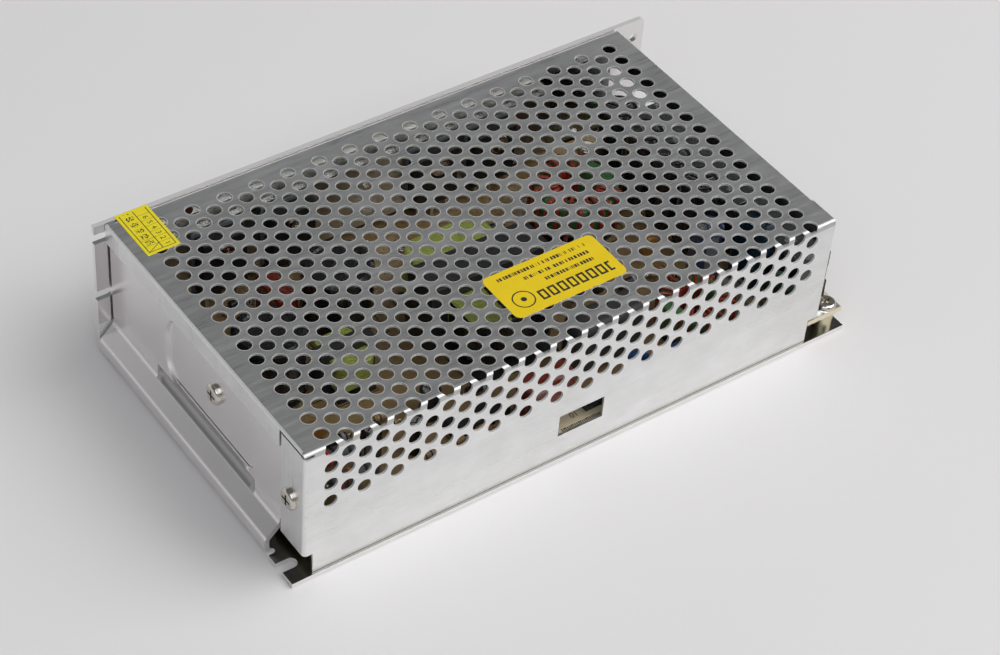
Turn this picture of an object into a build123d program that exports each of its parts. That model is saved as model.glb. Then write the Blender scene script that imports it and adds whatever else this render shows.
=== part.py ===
from build123d import *
import os

# Mesh case switching power supply, millimetres.
# X runs along the case with the terminals at +X, Y from the cover's side panel to the chassis side wall,
# Z up from the bottom plate. The origin is on the underside, at the middle of the case.

# Case, outside
case_length = 200.0
case_width = 110.8
case_height = 49.0

# Chassis, one folded sheet
chassis_t = 1.5
chassis_bend = 2.4            # outside radius of its square bends
step_bend = 2.6               # outside radius of the end wall's slanted bends
side_wall_setback = 0.5       # the side wall stops short of the bottom plate's left edge
step_depth = 5.0              # how far the end wall stands in from the bottom plate's edge
step_low = 5.5                # height where the end wall starts to lean in
end_wall_top_gap = 0.3        # under the cover
end_wall_side_gap = 0.8       # to the side wall
end_wall_near_gap = 0.5       # to the cover's side panel
foot_cut_width = 14.5         # of the end wall's foot, cut away over the corner tab
foot_cut_height = 12.0
tab_slot = (3.7, 5.7, 6.9)    # width, depth, distance from the plate's near edge
tab_relief = (2.0, 2.6)       # width, depth
ear_slot_heights = (44.3, 22.3)
ear_slot = (3.6, 5.5)         # width, depth
ear_corner = 1.5
ear_hole = (1.6, 4.0, 6.5)    # radius, distance from the ear's end, distance from its top

# Pressed panel and groove in the end wall
press_depth = 0.9
press_slant = 40.0
panel_y = (-27.2, 21.4)
panel_z = (14.0, 41.2)
panel_corner = 9.0
groove_y = (-24.7, 23.9)      # centres of its round ends
groove_z = 12.8
groove_r = 2.8
groove_depth = 1.3

# Mounting threads, M4
thread_r = 1.65
bottom_thread_pitch = (150.0, 50.0)
side_thread_pitch = 150.0
side_thread_height = 11.8

# Cover, one folded sheet
cover_t = 0.7
cover_bend = 1.3
cover_left = 95.97            # from the middle of the case
cover_right = 88.4
cover_inset = 0.8             # the side panel stands in from the bottom plate's near edge
cover_wall_gap = 0.15         # between its far flange and the side wall
far_flange_depth = 8.0
far_flange_gap = 0.5          # to the end wall's inside
panel_floor_gap = 0.1         # over the bottom plate
lip_depth = 7.0
lip_bend = 1.0
lip_near_gap = 1.0            # between the lip and the corner flange
corner_flange = 11.9
corner_flange_bottom = 9.2
corner_gap = 0.6              # between the corner flange and the top
edge_step = (0.5, 10.7)       # depth, distance from the near face
end_notch = (3.6, 10.0)       # width and height at the terminal end
window_x = (-9.9, 6.1)
window_z = (10.5, 18.5)

# Ventilation holes: columns along X, every other column half a pitch further on
vent_r = 2.2
vent_column_pitch = 5.405
vent_pitch = 6.6
vent_column_pairs = 16
vent_top_start = (2.0, 5.3)   # first hole from the cover's near face, in the two kinds of column
vent_top_count = (16, 15)
vent_side_start = (5.0, 1.7)  # the same down the side panel, from the cover's top
vent_side_count = (3, 4)
vent_reach = 1.3              # depth of the punch past the outside face

# Circuit board on its spacers
board_t = 1.6
board_stand = 6.0
board_left_gap = 1.5          # to the end wall's inside face
board_right_gap = 1.2         # to the bottom plate's right edge
board_near_gap = 0.4          # to the cover's side panel
board_far_gap = 0.7           # to the side wall
board_lug = 1.0               # the board's near edge steps out into the cover's end notch
board_lug_gap = 0.4
spacer_r = 3.0
spacer_spots = ((95.0, -51.0), (76.0, 47.0), (-86.0, -46.0), (-86.0, 46.0), (14.0, -48.5), (-2.0, 38.0))
film_t = 0.3                  # insulating sheet on the bottom plate
film_margin = 3.0
film_hole_gap = 0.5

# Screws
m3_r = 1.5
screw_gap = 0.12              # between a shank and its hole
pan_head = (3.4, 1.6)         # radius, height
csk_head_r = 2.8
recess_arm = 0.7
recess_depth = 1.1
board_screw_l = 5.0
flange_screw_l = 4.5
flange_screw = (-47.6, 27.0)  # y, z
cover_screw_x = (-70.0, 0.0, 70.0)
cover_screw_down = 4.4        # from the case's top
cover_screw_l = 4.5

# Terminal block
pole_count = 9
pole_pitch = 9.5
block_y = -3.2                # middle of the block across the case
rib_t = 1.6
block_end_wall = 0.65
block_depth = 13.5
block_height = 14.2
block_front_gap = 2.6         # to the bottom plate's right edge
block_deck = 6.2
block_back = 3.6
rib_setback = 0.8
contact_t = 1.0
contact_gap = 0.25
contact_depth = 9.0
clamp_size = 6.6
clamp_t = 0.8
terminal_screw_r = 1.75
terminal_head = (3.1, 2.2)
terminal_screw_l = 5.4

# Clear flap over the terminals, and its hinge
flap_t = 1.2
flap_skirt = 6.0
flap_over = 1.4               # how far its front stands past the block
flap_end_gap = 0.4
flap_lift = (12.0, 0.8, 1.0)  # finger lip: length, reach, thickness
hinge_lug = (4.2, 1.4, 3.6)   # along X, along Y, height
hinge_pin_r = 0.9
hinge_gap = 0.08
hinge_in = 2.1                # hinge line from the block's back
hinge_up = 1.9                # hinge line over the block's top
knuckle_r = 1.2

# Output trimmer and indicator
trimmer_size = (6.6, 4.4)     # width, height
trimmer_spot = (94.2, 48.6)
rotor_r = 2.3
rotor_h = 1.1
rotor_gap = 0.15
rotor_slot = (0.6, 0.5)       # width, depth
led_r = 1.5
led_h = 5.2
led_spot = (86.8, 48.6)

# Heat sink bar on the side wall, and the flat power packages on it
bar_x = (-80.0, 60.0)
bar_z = (14.0, 38.5)
bar_t = 5.2
bar_screw_x = (-74.0, -9.0, 54.0)
bar_screw_z = 30.0
bar_screw_l = 5.5
device_size = (15.6, 4.8, 20.4)
device_bottom = 15.5
device_screw_down = 4.6       # its hole from its top
device_screw_l = 9.4
device_leads = (3, 5.4, 1.2, 0.6)   # count, pitch, width, thickness
device_spots = {"power_transistors": (-62.0, -38.0), "rectifier_diodes": (14.0, 36.0)}
pad_t = 0.3
pad_margin = 1.2

# Bridge rectifier on the end wall
bridge_size = (3.6, 22.0, 18.0)
bridge_spot = (-5.0, 29.5)    # y, z of its screw
bridge_leads = (4, 5.0, 1.0)  # count, pitch, width
bridge_screw_l = 8.6
nut = (2.75, 2.4)             # half width across flats, height

# Round capacitors: spots, then radius and height
bulk_spots = {"bulk_capacitor_left": (-70.0, 6.0), "bulk_capacitor_right": (-38.0, 20.0)}
bulk_size = (11.0, 24.4)
output_spots = {
    "output_capacitor_1": (76.5, 34.0),
    "output_capacitor_2": (76.5, 20.2),
    "output_capacitor_3": (76.5, 6.4),
    "output_capacitor_4": (76.5, -7.4),
}
output_size = (6.25, 26.8)
filter_spot = (69.0, -21.5)
filter_size = (5.0, 22.0)
small_can_spots = ((-58.8, -31.0), (-47.0, -36.0), (-36.0, -27.0), (38.0, -8.0), (-86.0, 30.0), (42.0, 2.0))
small_can_size = (3.2, 11.0)

# Transformers: spot, core (length, width, height), end bar, middle leg, coil (along X, along Y)
coil_gap = 0.3
bobbin_base = 1.4
main_transformer = ((-3.0, -2.5), (42.0, 13.0, 27.0), 5.6, 12.0, (29.6, 45.0))
drive_transformer = ((-49.6, -2.0), (18.6, 5.0, 14.6), 2.4, 4.8, (12.8, 16.0))

# Ring chokes: spot, core (outer radius, inner radius, height), wire, then (start, turns, arc) of each coil
choke_gap = 0.35
choke_foot = (1.0, 0.8)       # thickness, and how far it stands in from the coil's outside
output_choke = ((52.0, 22.0), (13.5, 7.3, 11.0), 1.3, ((49.0, 19, 262.0),))
line_choke = ((53.6, -37.2), (11.0, 6.2, 9.0), 0.9, ((26.0, 10, 128.0), (206.0, 10, 128.0)))

# Leaded parts: spots, then sizes
leg_r = 0.35
leg_h = 2.4
film_capacitors = {
    "film_capacitor_near": ((-6.0, -42.2), (18.0, 7.6, 12.0)),
    "film_capacitor_left": ((-54.3, 27.5), (7.2, 15.0, 15.0)),
    "film_capacitor_end": ((80.4, -29.6), (6.2, 13.0, 26.0)),
    "line_capacitor": ((22.0, -33.0), (26.0, 10.5, 17.0)),
}
disc_spots = ((24.0, -46.6), (36.2, -50.0), (29.0, -12.0))
disc_size = (4.6, 2.8)
thermistor_spot = (79.6, -45.8)
thermistor_size = (6.4, 4.6)
ceramic_spots = ((-76.0, 34.0), (-66.0, 28.0), (-70.0, -20.0), (-31.0, -46.0), (60.0, -6.0), (-80.0, 22.0))
ceramic_size = (3.6, 2.4)
axial_overhang = 1.6
power_resistor_spots = ((-72.0, -33.0), (-72.0, -42.0), (-24.0, 38.0))
power_resistor_size = (2.5, 15.0, 6.0)
resistor_spots = (
    (-50.0, -22.0), (-50.0, -26.0), (-47.5, -42.0), (-37.0, -42.0), (-4.0, -35.0), (-86.0, -30.0),
    (-52.0, -46.0), (-52.0, -50.0), (34.0, -22.0), (34.0, -18.0), (58.0, -14.0), (58.0, -18.0), (-74.0, 40.0),
)
resistor_size = (1.15, 6.4, 1.3)
small_diode_spots = ((-66.0, -24.0), (-20.0, -27.6), (46.0, -14.0), (-60.0, 39.5), (24.0, 28.0), (-84.0, -20.0))
small_diode_size = (1.5, 6.8, 1.7)
jumper_spots = ((-40.0, -48.0), (46.0, -20.0), (-75.0, -27.6), (-22.0, 30.0), (66.0, 40.6), (-86.0, 13.0))
jumper_size = (0.35, 8.0, 0.5)

# Fuse in its clips, along Y
fuse_spot = (71.0, -40.5)
fuse_r = 2.5
fuse_l = 20.0
fuse_cap = (2.7, 5.6)
fuse_axis_h = 4.4
clip_t = 0.5
clip_gap = 0.1
clip_l = 4.8

# Control chip
chip_spot = (-26.0, -36.5)
chip_size = (19.6, 6.4, 3.3)
chip_stand = 0.5
chip_pins = (8, 2.54, 0.5, 0.7)     # count along a side, pitch, width, reach

# Stickers
sticker_t = 0.12
top_sticker = ((2.3, -31.2), (39.0, 18.9), 2.0)
grid_sticker = (-86.8, 10.6, 19.8, 0.2)     # x, width, length, distance from the case's far face

# Places that follow from the sizes above
half_l = case_length / 2
half_w = case_width / 2
wall_in = half_w - chassis_t
end_face = -half_l + step_depth
end_in = end_face + chassis_t
step_high = step_low + step_depth
cover_under = case_height - cover_t
end_wall_top = cover_under - end_wall_top_gap
cover_near = -half_w + cover_inset
cover_near_in = cover_near + cover_t
cover_far = wall_in - cover_wall_gap
cover_middle = (cover_right - cover_left) / 2
lip_start = cover_near + corner_flange + lip_near_gap
board_under = chassis_t + board_stand
board_top = board_under + board_t
board_left = end_in + board_left_gap
board_right = half_l - board_right_gap
board_near = cover_near_in + board_near_gap
board_far = wall_in - board_far_gap
block_x1 = half_l - block_front_gap
block_x0 = block_x1 - block_depth
block_half = pole_count * pole_pitch / 2 + rib_t / 2 + block_end_wall
block_top = board_top + block_height
deck_top = board_top + block_deck
block_ys = (block_y - block_half, block_y + block_half)
pole_ys = [block_y + (i - (pole_count - 1) / 2) * pole_pitch for i in range(pole_count)]
contact_x = block_x0 + block_back + contact_gap + contact_depth / 2
hinge_x = block_x0 + hinge_in
hinge_z = block_top + hinge_up
flap_half = block_half - hinge_lug[1] - flap_end_gap
flap_ys = (block_y - flap_half, block_y + flap_half)
bar_face = wall_in - bar_t
pad_face = bar_face - pad_t
device_face = pad_face - device_size[1]
device_screw_z = device_bottom + device_size[2] - device_screw_down
press_face = end_face + press_depth
press_in = end_in + press_depth
cover_screw_z = case_height - cover_screw_down
device_xs = [x for spots in device_spots.values() for x in spots]


def xz(y):
    """The sketch plane along the case at y. Extruding from it runs towards -Y."""
    return Plane.XZ.offset(-y)


def yz(x):
    """The sketch plane across the case at x. Extruding from it runs towards +X."""
    return Plane.YZ.offset(x)


def block(x, y, z, mode=Mode.ADD):
    """A box between pairs of x, y and z, in the active part."""
    with BuildSketch(Plane.XY.offset(z[0])) as outline:
        with Locations(((x[0] + x[1]) / 2, (y[0] + y[1]) / 2)):
            Rectangle(x[1] - x[0], y[1] - y[0])
    extrude(outline.sketch, amount=z[1] - z[0], mode=mode)


def folded_strip(plane, points, radius, thickness, length, side):
    """A folded sheet in the active part, from its outside line, thickened to one side."""
    with BuildSketch(plane) as section:
        with BuildLine():
            FilletPolyline(*points, radius=radius)
            offset(amount=thickness, side=side)
        make_face()
    extrude(section.sketch, amount=length)


def place(piece, *spots):
    """Adds a copy of a piece to the active part at each spot."""
    with Locations(*spots):
        add(piece)


def pan_screw(shank_r, shank_l, head):
    """A cross-recess pan-head screw, seated on the origin with its head up."""
    head_r, head_h = head
    with BuildPart(mode=Mode.PRIVATE) as screw:
        with BuildSketch():
            Circle(head_r)
        extrude(amount=head_h)
        fillet(screw.faces().sort_by(Axis.Z)[-1].edges(), head_h * 0.7)
        with BuildSketch(Plane.XY.offset(head_h)):
            Rectangle(head_r * 1.15, recess_arm)
            Rectangle(recess_arm, head_r * 1.15)
        extrude(amount=-recess_depth, mode=Mode.SUBTRACT)
        with BuildSketch():
            Circle(shank_r)
        extrude(amount=-shank_l)
    return screw.part


def csk_screw(shank_r, shank_l):
    """A cross-recess countersunk screw, its flush face on the origin and its shank down."""
    head_h = csk_head_r - shank_r
    with BuildPart(mode=Mode.PRIVATE) as screw:
        with BuildSketch(Plane.XZ):
            Polygon((0, 0), (csk_head_r, 0), (shank_r, -head_h), (shank_r, -shank_l), (0, -shank_l), align=None)
        revolve(axis=Axis.Z)
        with BuildSketch():
            Rectangle(csk_head_r * 1.2, recess_arm)
            Rectangle(recess_arm, csk_head_r * 1.2)
        extrude(amount=-head_h * 0.7, mode=Mode.SUBTRACT)
    return screw.part


def can(radius, height):
    """A radial electrolytic capacitor standing on the origin, with a crimp groove and a rolled top."""
    groove = radius * 0.05
    rim = radius * 0.12
    crimp = height * 0.11
    with BuildPart(mode=Mode.PRIVATE) as body:
        with BuildSketch(Plane.XZ):
            with BuildLine():
                Polyline(
                    (0, 0), (radius - rim, 0), (radius, rim), (radius, crimp - 2 * groove), (radius - groove, crimp),
                    (radius, crimp + 2 * groove), (radius, height - rim), (radius - rim, height),
                    (radius - 2 * rim, height), (radius - 2.5 * rim, height - groove), (0, height - groove), (0, 0),
                )
            make_face()
        revolve(axis=Axis.Z)
    return body.part


def dipped_box(x, y, height):
    """A dipped film capacitor over the origin, on two leads spread along its longer side."""
    short = min(x, y)
    pitch = max(x, y) * 0.75 / 2
    legs = ((-pitch, 0), (pitch, 0)) if x >= y else ((0, -pitch), (0, pitch))
    with BuildPart(mode=Mode.PRIVATE) as body:
        with BuildSketch(Plane.XY.offset(leg_h)):
            RectangleRounded(x, y, short * 0.3)
        extrude(amount=height)
        fillet(body.faces().sort_by(Axis.Z)[-1].edges(), short * 0.25)
        with BuildSketch():
            with Locations(*legs):
                Circle(leg_r)
        extrude(amount=leg_h)
    return body.part


def dipped_disc(radius, thickness):
    """A dipped disc over the origin, on two leads, its flat faces towards +Y and -Y."""
    with BuildPart(mode=Mode.PRIVATE) as body:
        with BuildSketch(xz(thickness / 2)):
            with Locations((0, leg_h + radius)):
                Circle(radius)
        extrude(amount=thickness)
        fillet(body.edges().filter_by(GeomType.CIRCLE), thickness * 0.38)
        with BuildSketch():
            with Locations((-radius / 2, 0), (radius / 2, 0)):
                Circle(leg_r)
        extrude(amount=leg_h + radius / 2)
    return body.part


def axial(radius, length, lift):
    """An axial part lying along X over the origin, lifted clear, with its leads bent down at both ends."""
    reach = length / 2 + axial_overhang
    height = radius + lift
    with BuildPart(mode=Mode.PRIVATE) as body:
        with BuildSketch(yz(-length / 2)):
            with Locations((0, height)):
                Circle(radius)
        extrude(amount=length)
        fillet(body.edges().filter_by(GeomType.CIRCLE), radius * 0.4)
        with BuildSketch(yz(-reach)):
            with Locations((0, height)):
                Circle(leg_r)
        extrude(amount=2 * reach)
        with BuildSketch():
            with Locations((-reach, 0), (reach, 0)):
                Circle(leg_r)
        extrude(amount=height)
    return body.part


def ferrite(size, bar, leg, coil_x):
    """Two E cores as one closed frame standing on the origin, with a middle leg for the coil."""
    length, width, height = size
    window = coil_x / 2 + coil_gap - leg / 2
    with BuildPart(mode=Mode.PRIVATE) as core:
        with BuildSketch(xz(width / 2)):
            with Locations((0, height / 2)):
                Rectangle(length, height)
            with Locations(((leg + window) / 2, height / 2), (-(leg + window) / 2, height / 2)):
                Rectangle(window, height - 2 * bar, mode=Mode.SUBTRACT)
        extrude(amount=width)
        chamfer(core.faces().sort_by(Axis.Z)[-1].edges(), bar * 0.08)
    return core.part


def taped_coil(size, bar, leg, coil):
    """The taped coil that fills a ferrite frame's two windows and bulges out on both sides of it."""
    length, width, height = size
    with BuildPart(mode=Mode.PRIVATE) as winding:
        with BuildSketch(Plane.XY.offset(bar + coil_gap)):
            RectangleRounded(coil[0], coil[1], coil[0] * 0.22)
            Rectangle(leg + 2 * coil_gap, width + 2 * coil_gap, mode=Mode.SUBTRACT)
        extrude(amount=height - 2 * bar - 2 * coil_gap)
        fillet(winding.faces().sort_by(Axis.Z)[-1].outer_wire().edges(), coil[0] * 0.05)
    return winding.part


def ring_core(ring, wire):
    """A choke's ring, standing over the origin by its foot, one wire and a gap."""
    outer, inner, height = ring
    with BuildPart(mode=Mode.PRIVATE) as core:
        with BuildSketch(Plane.XY.offset(choke_foot[0] + wire + choke_gap)):
            Circle(outer)
            Circle(inner, mode=Mode.SUBTRACT)
        extrude(amount=height)
        fillet(core.edges(), (outer - inner) * 0.16)
    return core.part


def ring_turn(ring, wire):
    """One turn of wire round a choke's ring, in the plane Y = 0 on the +X side."""
    outer, inner, height = ring
    middle = ((outer + inner) / 2, choke_foot[0] + wire + choke_gap + height / 2)
    size = (outer - inner + 2 * choke_gap, height + 2 * choke_gap)
    with BuildPart(mode=Mode.PRIVATE) as turn:
        with BuildSketch(xz(wire / 2)):
            with Locations(middle):
                RectangleRounded(size[0] + 2 * wire, size[1] + 2 * wire, wire * 1.7)
                RectangleRounded(*size, wire * 0.7, mode=Mode.SUBTRACT)
        extrude(amount=wire)
        chamfer(turn.faces().filter_by(Axis.Y).edges(), wire * 0.27)
    return turn.part


def choke_foot_plate(ring, wire):
    """The round insulating foot under a choke."""
    with BuildPart(mode=Mode.PRIVATE) as foot:
        with BuildSketch():
            Circle(ring[0] + choke_gap + wire - choke_foot[1])
        extrude(amount=choke_foot[0])
    return foot.part


# Chassis: bottom plate, side wall with its ears, and the end wall that steps in over the foot
with BuildPart() as chassis:
    strip_root = step_depth
    with BuildSketch():
        with Locations((0, -strip_root / 2)):
            Rectangle(case_length, case_width - strip_root)
        with Locations((-half_l, half_w)):
            Rectangle(
                2 * (strip_root - 1), case_width - foot_cut_width, align=(Align.CENTER, Align.MAX), mode=Mode.SUBTRACT
            )
    extrude(amount=chassis_t)
    folded_strip(
        yz(-half_l + side_wall_setback),
        [(half_w - strip_root - 1, 0), (half_w, 0), (half_w, case_height)],
        chassis_bend, chassis_t, case_length - side_wall_setback, Side.LEFT,
    )
    end_wall_far = wall_in - end_wall_side_gap
    end_wall_near = cover_near_in + end_wall_near_gap
    folded_strip(
        xz(end_wall_far),
        [(-half_l + strip_root, 0), (-half_l, 0), (-half_l, step_low), (end_face, step_high), (end_face, end_wall_top)],
        [chassis_bend, step_bend, step_bend], chassis_t, end_wall_far - end_wall_near, Side.RIGHT,
    )
    block(
        (-half_l - 1, end_in + 0.5), (-half_w - 1, -half_w + foot_cut_width), (chassis_t, foot_cut_height),
        mode=Mode.SUBTRACT,
    )

    # Corner tab: its open screw slot and the bend relief beside the foot
    slot_w, slot_l, slot_y = tab_slot
    relief_w, relief_l = tab_relief
    with BuildSketch():
        with Locations((-half_l + slot_l - slot_w / 2, -half_w + slot_y)):
            Circle(slot_w / 2)
            Rectangle(slot_l, slot_w, align=(Align.MAX, Align.CENTER))
        with Locations((-half_l + relief_l - relief_w / 2, -half_w + foot_cut_width - relief_w / 2)):
            Circle(relief_w / 2)
            Rectangle(relief_l, relief_w, align=(Align.MAX, Align.CENTER))
    extrude(amount=chassis_t, mode=Mode.SUBTRACT)

    # Ears: open slots at the left end, a hole at the right one, and rounded top corners
    slot_w, slot_l = ear_slot
    hole_r, hole_in, hole_down = ear_hole
    with BuildSketch(xz(half_w)):
        for slot_z in ear_slot_heights:
            with Locations((-half_l + side_wall_setback + slot_l - slot_w / 2, slot_z)):
                Circle(slot_w / 2)
                Rectangle(slot_l, slot_w, align=(Align.MAX, Align.CENTER))
        with Locations((half_l - hole_in, case_height - hole_down)):
            Circle(hole_r)
    extrude(amount=chassis_t, mode=Mode.SUBTRACT)
    top_corners = chassis.edges().filter_by(Axis.Y).group_by(Axis.Z)[-1].sort_by(Axis.X)
    fillet(top_corners[-1], ear_corner)

    # Pressed panel and groove: the same form stands proud inside and is sunk outside
    panel_size = (panel_y[1] - panel_y[0], panel_z[1] - panel_z[0])
    panel_middle = ((panel_y[0] + panel_y[1]) / 2, (panel_z[0] + panel_z[1]) / 2)
    with BuildSketch(yz(end_in)):
        with Locations(panel_middle):
            RectangleRounded(*panel_size, panel_corner)
    extrude(amount=press_depth, taper=press_slant)
    with BuildSketch(yz(end_face)):
        with Locations(panel_middle):
            RectangleRounded(*panel_size, panel_corner)
    extrude(amount=press_depth, taper=press_slant, mode=Mode.SUBTRACT)
    groove_axis = (end_face - groove_r + groove_depth, (groove_y[0] + groove_y[1]) / 2, groove_z)
    groove_half = (groove_y[1] - groove_y[0]) / 2

    def groove(radius):
        """A round-ended bar along the groove's axis, as a separate solid."""
        with BuildPart(Plane(origin=groove_axis, z_dir=(0, 1, 0)), mode=Mode.PRIVATE) as bar:
            Cylinder(radius, 2 * groove_half)
            with Locations((0, 0, -groove_half), (0, 0, groove_half)):
                Sphere(radius)
        return bar.part

    with BuildPart(mode=Mode.PRIVATE) as groove_back:
        add(groove(groove_r + chassis_t))
        split(bisect_by=Plane(origin=(end_face + chassis_t / 2, 0, groove_z), z_dir=(1, 0, 0)), keep=Keep.TOP)
    add(groove_back.part)
    add(groove(groove_r), mode=Mode.SUBTRACT)

    # Threads and screw holes
    with Locations(Plane.XY.offset(chassis_t)):
        with GridLocations(*bottom_thread_pitch, 2, 2):
            Hole(thread_r, depth=chassis_t)
    with Locations(Plane(origin=(0, half_w, side_thread_height), x_dir=(1, 0, 0), z_dir=(0, 1, 0))):
        with GridLocations(side_thread_pitch, 1, 2, 1):
            Hole(thread_r, depth=chassis_t)
    outside = [Plane(origin=(x, half_w, bar_screw_z), z_dir=(0, 1, 0)) for x in bar_screw_x]
    outside += [Plane(origin=(x, half_w, cover_screw_z), z_dir=(0, 1, 0)) for x in cover_screw_x]
    with Locations(*outside):
        CounterSinkHole(m3_r + screw_gap, csk_head_r + screw_gap, depth=chassis_t, counter_sink_angle=90)
    bridge_seat = Plane(origin=(press_face, *bridge_spot), z_dir=(-1, 0, 0))
    flange_thread = Plane(origin=(end_face, *flange_screw), z_dir=(-1, 0, 0))
    with Locations(bridge_seat, flange_thread):
        Hole(m3_r + screw_gap, depth=chassis_t)

# Cover: far flange, perforated top, perforated side panel, left lip and near corner flange
with BuildPart() as cover:
    folded_strip(
        yz(-cover_left),
        [
            (cover_far, case_height - far_flange_depth), (cover_far, case_height),
            (cover_near, case_height), (cover_near, chassis_t + panel_floor_gap),
        ],
        cover_bend, cover_t, cover_left + cover_right, Side.LEFT,
    )
    lip_band = (-cover_left - 1, end_in + far_flange_gap)
    lip_y = (cover_near + cover_bend, cover_far)
    block(lip_band, (lip_y[0], lip_y[1] + 1), (0, case_height + 1), mode=Mode.SUBTRACT)
    folded_strip(
        xz(lip_y[1]),
        [(lip_band[1], case_height), (-cover_left, case_height), (-cover_left, case_height - lip_depth)],
        lip_bend, cover_t, lip_y[1] - lip_y[0], Side.LEFT,
    )
    block(lip_band, (cover_near - 1, lip_start), (0, cover_under), mode=Mode.SUBTRACT)
    folded_strip(
        Plane.XY.offset(corner_flange_bottom),
        [
            (lip_band[1] + cover_bend, cover_near), (-cover_left, cover_near),
            (-cover_left, cover_near + corner_flange),
        ],
        cover_bend, cover_t, cover_under - corner_gap - corner_flange_bottom, Side.RIGHT,
    )

    # The step in the right edge, the end notch and the window
    block(
        (cover_right - edge_step[0], cover_right + 1), (cover_near + edge_step[1], cover_far + 1),
        (case_height - far_flange_depth - 1, case_height + 1), mode=Mode.SUBTRACT,
    )
    block(
        (cover_right - end_notch[0], cover_right + 1), (cover_near - 1, cover_near_in + 1), (0, end_notch[1]),
        mode=Mode.SUBTRACT,
    )
    block(window_x, (cover_near - 1, cover_near_in + 1), window_z, mode=Mode.SUBTRACT)

    # Ventilation holes, punched into the top and into the side panel
    for kind, shift in enumerate((vent_column_pitch / 2, -vent_column_pitch / 2)):
        top_rows, side_rows = vent_top_count[kind], vent_side_count[kind]
        top_middle = cover_near + vent_top_start[kind] + (top_rows - 1) / 2 * vent_pitch
        side_middle = case_height - vent_side_start[kind] - (side_rows - 1) / 2 * vent_pitch
        with BuildSketch(Plane.XY.offset(case_height - vent_reach)):
            with Locations((cover_middle + shift, top_middle)):
                with GridLocations(2 * vent_column_pitch, vent_pitch, vent_column_pairs, top_rows):
                    Circle(vent_r)
        extrude(amount=2 * vent_reach, mode=Mode.SUBTRACT)
        with BuildSketch(xz(cover_near + vent_reach)):
            with Locations((cover_middle + shift, side_middle)):
                with GridLocations(2 * vent_column_pitch, vent_pitch, vent_column_pairs, side_rows):
                    Circle(vent_r)
        extrude(amount=2 * vent_reach, mode=Mode.SUBTRACT)

    # Screw holes: the corner flange, and the far flange's threads
    with Locations(Plane(origin=(-cover_left, *flange_screw), z_dir=(-1, 0, 0))):
        Hole(m3_r + screw_gap, depth=cover_t)
    with Locations(*[Plane(origin=(x, cover_far, cover_screw_z), z_dir=(0, 1, 0)) for x in cover_screw_x]):
        Hole(m3_r + screw_gap, depth=cover_t)

# Circuit board with a step in its near edge at the terminal end
with BuildPart() as circuit_board:
    block((board_left, board_right), (board_near, board_far), (board_under, board_top))
    block(
        (cover_right - end_notch[0] + board_lug_gap, board_right), (board_near - board_lug, board_near + 1),
        (board_under, board_top),
    )
    with BuildSketch(Plane.XY.offset(board_under)):
        with Locations(*spacer_spots):
            Circle(m3_r + screw_gap)
    extrude(amount=board_t, mode=Mode.SUBTRACT)

with BuildPart() as insulating_sheet:
    with BuildSketch(Plane.XY.offset(chassis_t)):
        with Locations(((board_left + board_right) / 2, (board_near + board_far) / 2)):
            Rectangle(board_right - board_left - 2 * film_margin, board_far - board_near - 2 * film_margin)
        with Locations(*spacer_spots):
            Circle(spacer_r + film_hole_gap, mode=Mode.SUBTRACT)
    extrude(amount=film_t)

with BuildPart() as board_spacers:
    with BuildSketch(Plane.XY.offset(chassis_t)):
        with Locations(*spacer_spots):
            Circle(spacer_r)
            Circle(m3_r + screw_gap, mode=Mode.SUBTRACT)
    extrude(amount=board_stand)

with BuildPart() as board_screws:
    place(pan_screw(m3_r, board_screw_l, pan_head), *[(x, y, board_top) for x, y in spacer_spots])

with BuildPart() as flange_screw_part:
    place(pan_screw(m3_r, flange_screw_l, pan_head), Plane(origin=(-cover_left, *flange_screw), z_dir=(-1, 0, 0)))

with BuildPart() as cover_screws:
    place(
        csk_screw(m3_r, cover_screw_l),
        *[Plane(origin=(x, half_w, cover_screw_z), z_dir=(0, 1, 0)) for x in cover_screw_x],
    )

# Terminal block: a deck of open pockets between ribs, a back wall, and two hinge lugs for the flap
with BuildPart() as terminal_block:
    block((block_x0, block_x1), block_ys, (board_top, block_top))
    with BuildSketch(Plane.XY.offset(deck_top)):
        with Locations(*[(block_x0 + block_back, y) for y in pole_ys]):
            Rectangle(block_depth, pole_pitch - rib_t, align=(Align.MIN, Align.CENTER))
        with Locations((block_x1 - rib_setback, block_y)):
            Rectangle(rib_setback + 1, 2 * block_half + 1, align=(Align.MIN, Align.CENTER))
    extrude(amount=block_height, mode=Mode.SUBTRACT)
    with BuildSketch(Plane.XY.offset(deck_top)):
        with Locations(*[(contact_x, y) for y in pole_ys]):
            Circle(terminal_screw_r + screw_gap)
    extrude(amount=-(terminal_screw_l - contact_t), mode=Mode.SUBTRACT)
    lug_x, lug_y, lug_h = hinge_lug
    for side in (-1, 1):
        block(
            (hinge_x - lug_x / 2, hinge_x + lug_x / 2),
            sorted((block_y + side * block_half, block_y + side * (block_half - lug_y))),
            (block_top, block_top + lug_h),
        )
    lug_corners = terminal_block.edges().filter_by(Axis.Y).group_by(Axis.Z)[-1]
    fillet(lug_corners, lug_x * 0.35)
    with BuildSketch(xz(block_ys[1])):
        with Locations((hinge_x, hinge_z)):
            Circle(hinge_pin_r + hinge_gap)
    extrude(amount=2 * block_half, mode=Mode.SUBTRACT)

with BuildPart() as terminal_contacts:
    with BuildSketch(Plane.XY.offset(deck_top)):
        with Locations(*[(contact_x, y) for y in pole_ys]):
            Rectangle(contact_depth, pole_pitch - rib_t - 2 * contact_gap)
            Circle(terminal_screw_r + screw_gap, mode=Mode.SUBTRACT)
    extrude(amount=contact_t)

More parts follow.
